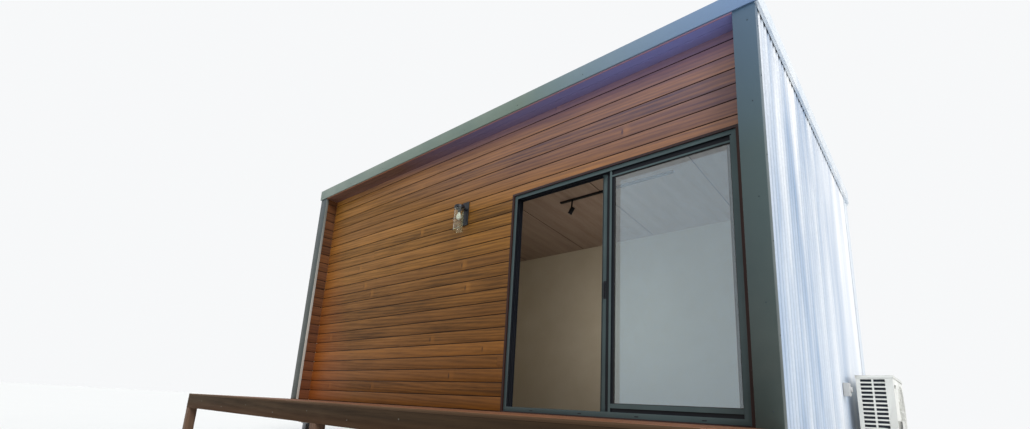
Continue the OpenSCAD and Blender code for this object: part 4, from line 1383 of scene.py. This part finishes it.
def strike_plate():
    """The strike on the left jamb, with its two screws."""
    x, y = DOOR_LOW.x + 0.018, (LEAF_LOW.y + LEAF_HIGH.y) / 2
    plate = ring(-0.0785, 0.0785, -0.019, 0.019, 0, 0.0016, 0.011, 0.0005)
    turn = Matrix.Rotation(math.pi / 2, 4, "Z") @ Matrix.Rotation(math.pi / 2, 4, "Y")
    plate.data.transform(moved(x + 0.0018, y, STRIKE_HEIGHT) @ turn)
    screws = pan_screws(0.0028, [
        facing((x + 0.0016, y, STRIKE_HEIGHT + end * STRIKE_SCREW), (1, 0, 0)) for end in (-1, 1)
    ])
    return joined([plate, screws])


class POD_OT_sliding_door(Operator):
    """Frame, trim, panels, seals, handles and strike of the sliding door"""

    bl_idname = "pod.sliding_door"
    bl_label = "Sliding Door"

    def execute(self, context):
        ease = context.scene.pod_metal.casting_ease
        # The frame's and sashes' returns and set-back faces, and the meeting hook, take painted shade
        take(
            eased("door_frame", ease), "door_surround", "Slate door frame", "dark_aluminium", "door_frame",
            other="Dark door returns", test=is_frame_inside,
        )
        take(
            eased("sliding_panel", ease), "sliding_sash", "Slate door frame", "dark_aluminium",
            "sliding_panel", body="sliding_leaf", other="Dark door returns", test=is_return,
        )
        take(
            fixed_sash(ease), "fixed_sash", "Slate door frame", "dark_aluminium", "fixed_panel",
            other="Dark door returns", test=is_sash_inside,
        )
        take(meeting_hook(), "meeting_hook", "Dark door returns", "dark_aluminium")
        low, high = TRIM_LOW, TRIM_HIGH
        width, trim_ease = DOOR_LOW.x - low.x, 0.0015
        sides = joined([
            bar((x, low.y, low.z), (x + width, high.y, high.z - width), trim_ease, "Z")
            for x in (low.x, high.x - width)
        ])
        head = bar((low.x, low.y, high.z - width), high, trim_ease, "X")
        foot = bar((DOOR_LOW.x, low.y, low.z), (DOOR_HIGH.x, high.y, DOOR_LOW.z), trim_ease, "X")
        take(sides, "door_side_trim", "Upright trim", "trim_timber", "door_trim")
        take(joined([head, foot]), "door_head_trim", "Level trim", "trim_timber", "door_trim")
        take(glass_seals("fixed_glass"), "fixed_glass_seals", "Black seal", "black_hardware")
        take(
            glass_seals("sliding_glass"), "sliding_glass_seals", "Black seal", "black_hardware",
            body="sliding_leaf",
        )
        low, high = LEAF_LOW, LEAF_HIGH
        brushes = [
            bar((x, low.y - 0.0035, low.z + 0.02), (x + 0.006, low.y, high.z - 0.02), 0.001)
            for x in (low.x + 0.004, high.x - 0.010)
        ]
        take(joined(brushes), "sliding_brush_seals", "Black seal", "black_hardware", body="sliding_leaf")
        take(
            joined(door_pull(-1, low.y) + door_pull(1, high.y)), "door_pulls", "Black metal",
            "black_hardware", "door_handles", body="sliding_leaf",
        )
        take(strike_plate(), "door_strike", "Black metal", "black_hardware")
        low = DOOR_LOW
        caps = [
            bar(
                (x - 0.016, low.y - 0.0012, low.z + 0.012),
                (x + 0.016, low.y + 0.001, low.z + 0.020), 0.001,
            )
            for x in DRAIN_CAPS
        ]
        take(joined(caps), "sill_drain_caps", "Black metal", "black_hardware")
        return {"FINISHED"}


# Deck

PLANK_WIDTH, PLANK_PITCH = 0.090, 0.095
STEP_Y = -1.700  # Where the deck gets narrower, between the wings
JOIST_WIDTH, JOIST_PITCH = 0.045, 0.45
BEAM_WIDTH = 0.09
FIT = 0.0004  # How far the joists clear the beams, and the screws are let in
SCREW_INSET = 0.022  # From a plank's edge to its screws


class POD_OT_deck(Operator):
    """Boards, beams, joists, posts and screws of the deck"""

    bl_idname = "pod.deck"
    bl_label = "Deck"

    def execute(self, context):
        reach = DECK_HIGH.x
        planks, rows = [], []
        for start, stop, half in (
            (DECK_LOW.y, STEP_Y, reach), (STEP_Y + 0.005, BOARDS_LOW.y - 0.005, -BOARDS_LOW.x - 0.005)
        ):
            y = start
            while y < stop - 0.01:
                end = min(y + PLANK_WIDTH, stop)
                plank = bar((-half, y, DECK_LOW.z), (half, end, DECK_HIGH.z), 0.0025, "X")
                planks.append(tint(plank, tone_of(len(planks) + DECK_TONES)))
                rows.append((y, end, half))
                y += PLANK_PITCH
        # The planks' front faces take the deck edges' painted shade
        take(
            joined(planks), "deck_planks", "Deck boards", "deck_timber", "deck_boards", angle=35,
            other="Deck edges", test=lambda f: f.center.y < DECK_LOW.y + 0.003,
        )
        count = math.ceil((2 * reach - JOIST_WIDTH) / JOIST_PITCH)
        step = (2 * reach - JOIST_WIDTH) / count
        joist_xs = [JOIST_WIDTH / 2 - reach + k * step for k in range(count + 1)]
        screw = turned([(-0.001, 0.0042), (0.0002, 0.0042), (0.0006, 0.0036)], 10)
        places = [
            moved(x, y, DECK_HIGH.z - FIT)
            for y0, y1, half in rows for y in (y0 + SCREW_INSET, y1 - SCREW_INSET) for x in joist_xs
            if abs(x) < half - 0.01
        ]
        take(copied(screw, places), "deck_screws", "Weathered screw", "bracket_steel")
        low, high = BEAM_LOW, BEAM_HIGH
        beams = [
            bar(low, (high.x, low.y + BEAM_WIDTH, high.z), 0.003, "X"),
            bar((low.x, high.y - JOIST_WIDTH, low.z), high, 0.003, "X"),
        ]
        take(joined(beams), "deck_beams", "Deck beams", "deck_frame_timber", "deck_frame", angle=35)
        joist = bar(
            (0, low.y + BEAM_WIDTH + FIT, low.z),
            (JOIST_WIDTH, high.y - JOIST_WIDTH - FIT, high.z), 0.0025, "Y",
        )
        joists = copied(joist, [moved(low.x + k * step) for k in range(count + 1)])
        take(joists, "deck_joists", "Deck joists", "deck_frame_timber", "deck_frame", angle=35)
        post = bar((0, 0, POST_LOW.z), (BEAM_WIDTH, BEAM_WIDTH, POST_HIGH.z), 0.004, "Z")
        post_step = (POST_HIGH.x - POST_LOW.x - BEAM_WIDTH) / 2
        posts = copied(post, [moved(POST_LOW.x + k * post_step, POST_LOW.y) for k in range(3)])
        take(posts, "deck_post_timbers", "Deck posts", "deck_frame_timber", "deck_posts", angle=35)
        screws = pan_screws(0.0050, [
            facing((-2.6 + 0.62 * k, low.y + 0.0001, low.z + (0.05 if k % 2 else 0.09)), (0, -1, 0))
            for k in range(9)
        ])
        take(screws, "beam_screws", "Weathered screw", "bracket_steel")
        return {"FINISHED"}


# Fittings

LID_LIP = 0.004  # How far the outdoor unit's lid stands out past its casing


class POD_OT_wall_light(Operator):
    """Wall light with its plate, arm, cap, holder and bulb"""

    bl_idname = "pod.wall_light"
    bl_label = "Wall Light"

    def execute(self, context):
        centre = (SHADE_LOW + SHADE_HIGH) / 2
        radius = (SHADE_HIGH.x - SHADE_LOW.x) / 2
        x, y, top = centre.x, centre.y, SHADE_HIGH.z
        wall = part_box("wall_light")[1].y
        plate_low, plate_high, plate_y = top - 0.166, top + 0.105, wall - 0.010
        plate = bar((x - 0.046, plate_y, plate_low), (x + 0.046, wall, plate_high), 0.0028, segments=3)
        arm = bar((x - 0.014, y, top + 0.006), (x + 0.014, wall - 0.009, top + 0.030), 0.003, segments=3)
        cap = turned(
            [
                (0, radius + 0.0005), (0.0015, radius + 0.003), (0.027, radius + 0.003),
                (0.032, radius + 0.001), (0.0345, radius - 0.003), (0.036, radius - 0.010),
            ],
            64, (x, y, top),
        )
        holder = turned(
            [
                (-0.046, 0.0140), (-0.0448, 0.0158), (-0.034, 0.0158), (-0.0335, 0.0146),
                (-0.0315, 0.0146), (-0.031, 0.0158), (-0.004, 0.0158), (-0.003, 0.0205), (0.001, 0.0205),
            ],
            40, (x, y, top),
        )
        screws = pan_screws(0.0038, [
            facing((x, plate_y, z), (0, -1, 0)) for z in (plate_low + 0.02, plate_high - 0.02)
        ])
        take(
            joined([plate, arm, cap, holder, screws]), "wall_lamp_body", "Black metal", "black_hardware",
            "wall_light",
        )
        bulb = turned(
            [
                (0, 0.0130), (-0.006, 0.0134), (-0.013, 0.0160), (-0.024, 0.0215), (-0.036, 0.0262),
                (-0.047, 0.0286), (-0.057, 0.0284), (-0.066, 0.0252), (-0.074, 0.0188),
                (-0.080, 0.0098), (BULB_LOW.z - BULB_HIGH.z + 0.0002, 0.0010),
            ],
            40, (x, y, BULB_HIGH.z), angle=60,
        )
        take(bulb, "lamp_bulb", "Opal bulb", "lamp_opal", "wall_light_bulb")
        thick = 0.0019
        put_down()
        bpy.ops.mesh.primitive_torus_add(
            major_segments=72, minor_segments=12, major_radius=radius - 0.0015, minor_radius=thick
        )
        rim = context.active_object
        rim.data.transform(moved(x, y, SHADE_LOW.z + thick))
        take(rim, "lamp_glass_rim", "Lamp glass", "lamp_glass", angle=60)
        return {"FINISHED"}


class POD_OT_track_light(Operator):
    """Ceiling track and its spotlight"""

    bl_idname = "pod.track_light"
    bl_label = "Track Light"

    def execute(self, context):
        light = eased("track_light", context.scene.pod_metal.casting_ease, 3)
        take(light, "ceiling_track", "Black metal", "black_hardware", "track_light")
        return {"FINISHED"}


def fan_blade(hub, reach, thickness):
    """One twisted fan blade that reaches out along X."""
    put_down()
    bpy.ops.mesh.primitive_grid_add(x_subdivisions=6, y_subdivisions=6, size=1, location=(0.5, 0, 0))
    part = settled(bpy.context.active_object)
    root = hub * 0.85
    for v in part.data.vertices:
        out, across = v.co.x, v.co.y
        radius = root + (reach - root) * out
        spread = 0.55 + 0.75 * out - 0.15 * out * out
        angle = across * spread * 1.1 + 0.35 * out
        twist = math.radians(34 - 16 * out)
        rise = across * spread * 0.1 * math.sin(twist)
        v.co = Vector((radius * math.cos(angle), radius * math.sin(angle), rise))
    use(part, "SOLIDIFY", thickness=thickness, offset=0)
    use(part, "SUBSURF", levels=1, render_levels=1)
    return smooth(part, 60)


class POD_OT_outdoor_unit(Operator):
    """Outdoor unit with its casing, fan, brackets and switch box"""

    bl_idname = "pod.outdoor_unit"
    bl_label = "Outdoor Unit"

    def execute(self, context):
        s = context.scene.pod_metal
        casing = eased("outdoor_unit", s.casting_ease * 1.2, 3)
        take(casing, "unit_casing", "Off-white casing", "unit_casing", "outdoor_unit")
        centre = (FAN_LOW + FAN_HIGH) / 2
        depth = FAN_HIGH.x - FAN_LOW.x
        hub = turned(
            [
                (0, 0.0535), (0.002, 0.055), (depth - 0.010, 0.055), (depth - 0.004, 0.050),
                (depth - 0.001, 0.036), (depth, 0.020),
            ],
            48, (FAN_LOW.x, centre.y, centre.z), (1, 0, 0),
        )
        turn = facing(centre, (1, 0, 0))
        blades = copied(
            fan_blade(0.055, 0.2195, 0.004),
            [turn @ Matrix.Rotation(math.radians(degrees), 4, "Z") for degrees in (0, 120, 240)],
        )
        take(joined([hub, blades]), "unit_fan_blades", "Dark plastic", "unit_dark", "unit_fan")
        brackets = eased("unit_brackets", s.ease)
        take(brackets, "unit_wall_brackets", "Galvanised steel", "bracket_steel", "unit_brackets")
        box = eased("isolator", s.casting_ease * 1.5, 3)
        take(box, "switch_box", "Grey switch box", "unit_casing", "isolator")
        vent_x, vent_width, bar_between, lid = UNIT_LOW.x + LID_LIP + 0.032, 0.083, 0.014, 0.022
        front = UNIT_LOW.y + LID_LIP
        # The coil behind the vents, near-black as painted shade inside the unit
        coils = [
            bar((x, front + 0.0112, UNIT_LOW.z + 0.03),
                (x + vent_width, front + 0.0134, UNIT_HIGH.z - lid - 0.005), 0.0004)
            for x in (vent_x, vent_x + vent_width + bar_between)
        ]
        take(joined(coils), "unit_coil_fins", "Coil fins", "unit_dark")
        screws = pan_screws(0.0036, [
            facing((UNIT_LOW.x + x, front, UNIT_HIGH.z - 0.008), (0, -1, 0)) for x in (0.06, 0.23)
        ])
        take(screws, "unit_screws", "Bright screw", "plain_metal")
        return {"FINISHED"}


# Stage

SUN_WAY = (-0.72, 0.42, -0.62)  # Which way the soft lamp shines
# Where the camera stands, and its right, its up and its back
CAMERA_PLACE = (3.8781, -4.9302, 0.6355)
CAMERA_AXES = (
    (0.74919, 0.66011, 0.05457), (0.11794, -0.21402, 0.96968), (0.65177, -0.72004, -0.23819)
)


def lay_floor(settings):
    put_down()
    bpy.ops.mesh.primitive_plane_add(size=400, location=(0, 0, -0.001))
    floor = settled(bpy.context.active_object, "studio_floor")
    tree = Finish("Studio floor", {"Roughness": 0.9})
    colour = tuple(settings.floor_colour)
    tone = tree.mix(tree.noise(tree.place(), 0.6, 1.0), colour, tuple(c * 1.02 for c in colour))
    tree.plug(tone, tree.shader.inputs["Base Color"])
    floor.data.materials.append(tree.material)


def light_world(settings):
    """An even sky for the light, and the plain backdrop for what is seen, mirrored or looked
    through."""
    world = bpy.data.worlds.new("Studio")
    bpy.context.scene.world = world
    world.use_nodes = True
    world.node_tree.nodes.clear()
    tree = Tree(world.node_tree)
    up = tree.axis("Z", tree.node("ShaderNodeTexCoord", out="Generated"))
    sky = tree.mix(up.ranged(-0.1, 0.9), (1.0, 0.985, 0.965), (0.90, 0.95, 1.0))
    light = tree.node("ShaderNodeBackground", {0: sky, 1: settings.sky})
    seen = tree.node("ShaderNodeBackground", {0: settings.backdrop, 1: 1.0})
    rays = tree.placed("ShaderNodeLightPath").outputs
    camera, glossy, through = (
        Wire(tree, rays[f"Is {kind} Ray"]) for kind in ("Camera", "Glossy", "Transmission")
    )
    direct = (camera + glossy).math("ADD", through, clamp=True)
    mix = tree.node("ShaderNodeMixShader", {0: direct, 1: light, 2: seen})
    tree.placed("ShaderNodeOutputWorld", {0: mix})


def hang_lamp(kind, name, place, energy, colour):
    put_down()
    bpy.ops.object.light_add(type=kind, location=place)
    lamp = bpy.context.active_object
    lamp.name = name
    lamp.data.energy = energy
    lamp.data.color = colour
    return lamp


class POD_OT_stage(Operator):
    """Lays the studio floor, the even light, the soft lamps and the camera"""

    bl_idname = "pod.stage"
    bl_label = "Stage and Camera"

    def execute(self, context):
        settings = context.scene.pod_stage
        lay_floor(settings)
        light_world(settings)
        sun = hang_lamp("SUN", "soft_lamp", (6, -5, 8), settings.sun, (1.0, 0.985, 0.96))
        sun.data.angle = math.radians(25)
        sun.rotation_mode = "QUATERNION"
        sun.rotation_quaternion = Vector(SUN_WAY).to_track_quat("-Z", "Y")
        lamp = hang_lamp("POINT", "room_lamp", (0.4, 0.2, 1.9), settings.room, (1.0, 0.96, 0.90))
        lamp.data.shadow_soft_size = 0.7
        lamp.visible_camera = False
        lamp.visible_glossy = False
        lamp.visible_transmission = False
        put_down()
        bpy.ops.object.camera_add()
        camera = context.active_object
        camera.name = "front_camera"
        camera.data.sensor_width = 36
        camera.data.lens = settings.focal
        camera.data.shift_y = settings.rise
        camera.data.clip_start = 0.05
        camera.data.clip_end = 500
        camera.matrix_world = moved(*CAMERA_PLACE) @ Matrix(CAMERA_AXES).transposed().to_4x4()
        context.scene.camera = camera
        context.scene.view_settings.view_transform = "Standard"
        return {"FINISHED"}


PIECE_OPERATORS = (
    POD_OT_finishes,
    POD_OT_wall_boards,
    POD_OT_reveal_boards,
    POD_OT_wall_sheets,
    POD_OT_roof_sheets,
    POD_OT_flashings,
    POD_OT_sliding_door,
    POD_OT_deck,
    POD_OT_wall_light,
    POD_OT_track_light,
    POD_OT_outdoor_unit,
    POD_OT_stage,
)
# Each group of settings, its heading, and where the scene holds it
SETTINGS = (
    (PodTimberSettings, "Timber", "pod_timber"),
    (PodSheetSettings, "Corrugated sheet", "pod_sheet"),
    (PodMetalSettings, "Metalwork", "pod_metal"),
    (PodStageSettings, "Stage", "pod_stage"),
)


class POD_PT_panel(Panel):
    """Lists the pod's settings and pieces in the sidebar"""

    bl_idname = "POD_PT_panel"
    bl_label = "Garden Office Pod"
    bl_space_type = "VIEW_3D"
    bl_region_type = "UI"
    bl_category = "Pod"

    def draw(self, context):
        column = self.layout.column()
        for group, heading, holder in SETTINGS:
            column.label(text=heading)
            for name in group.__annotations__:
                column.prop(getattr(context.scene, holder), name)
        for operator in PIECE_OPERATORS:
            column.operator(operator.bl_idname)


def register():
    for group, _, holder in SETTINGS:
        bpy.utils.register_class(group)
        setattr(bpy.types.Scene, holder, PointerProperty(type=group))
    for operator in PIECE_OPERATORS:
        bpy.utils.register_class(operator)
    bpy.utils.register_class(POD_PT_panel)


def unregister():
    bpy.utils.unregister_class(POD_PT_panel)
    for operator in reversed(PIECE_OPERATORS):
        bpy.utils.unregister_class(operator)
    for group, _, holder in SETTINGS:
        delattr(bpy.types.Scene, holder)
        bpy.utils.unregister_class(group)


def main():
    register()
    bpy.ops.pod.finishes()
    bpy.ops.pod.wall_boards()
    bpy.ops.pod.reveal_boards()
    bpy.ops.pod.wall_sheets()
    bpy.ops.pod.roof_sheets()
    bpy.ops.pod.flashings()
    bpy.ops.pod.sliding_door()
    bpy.ops.pod.deck()
    bpy.ops.pod.wall_light()
    bpy.ops.pod.track_light()
    bpy.ops.pod.outdoor_unit()
    bpy.ops.pod.stage()


if __name__ == "__main__":
    main()
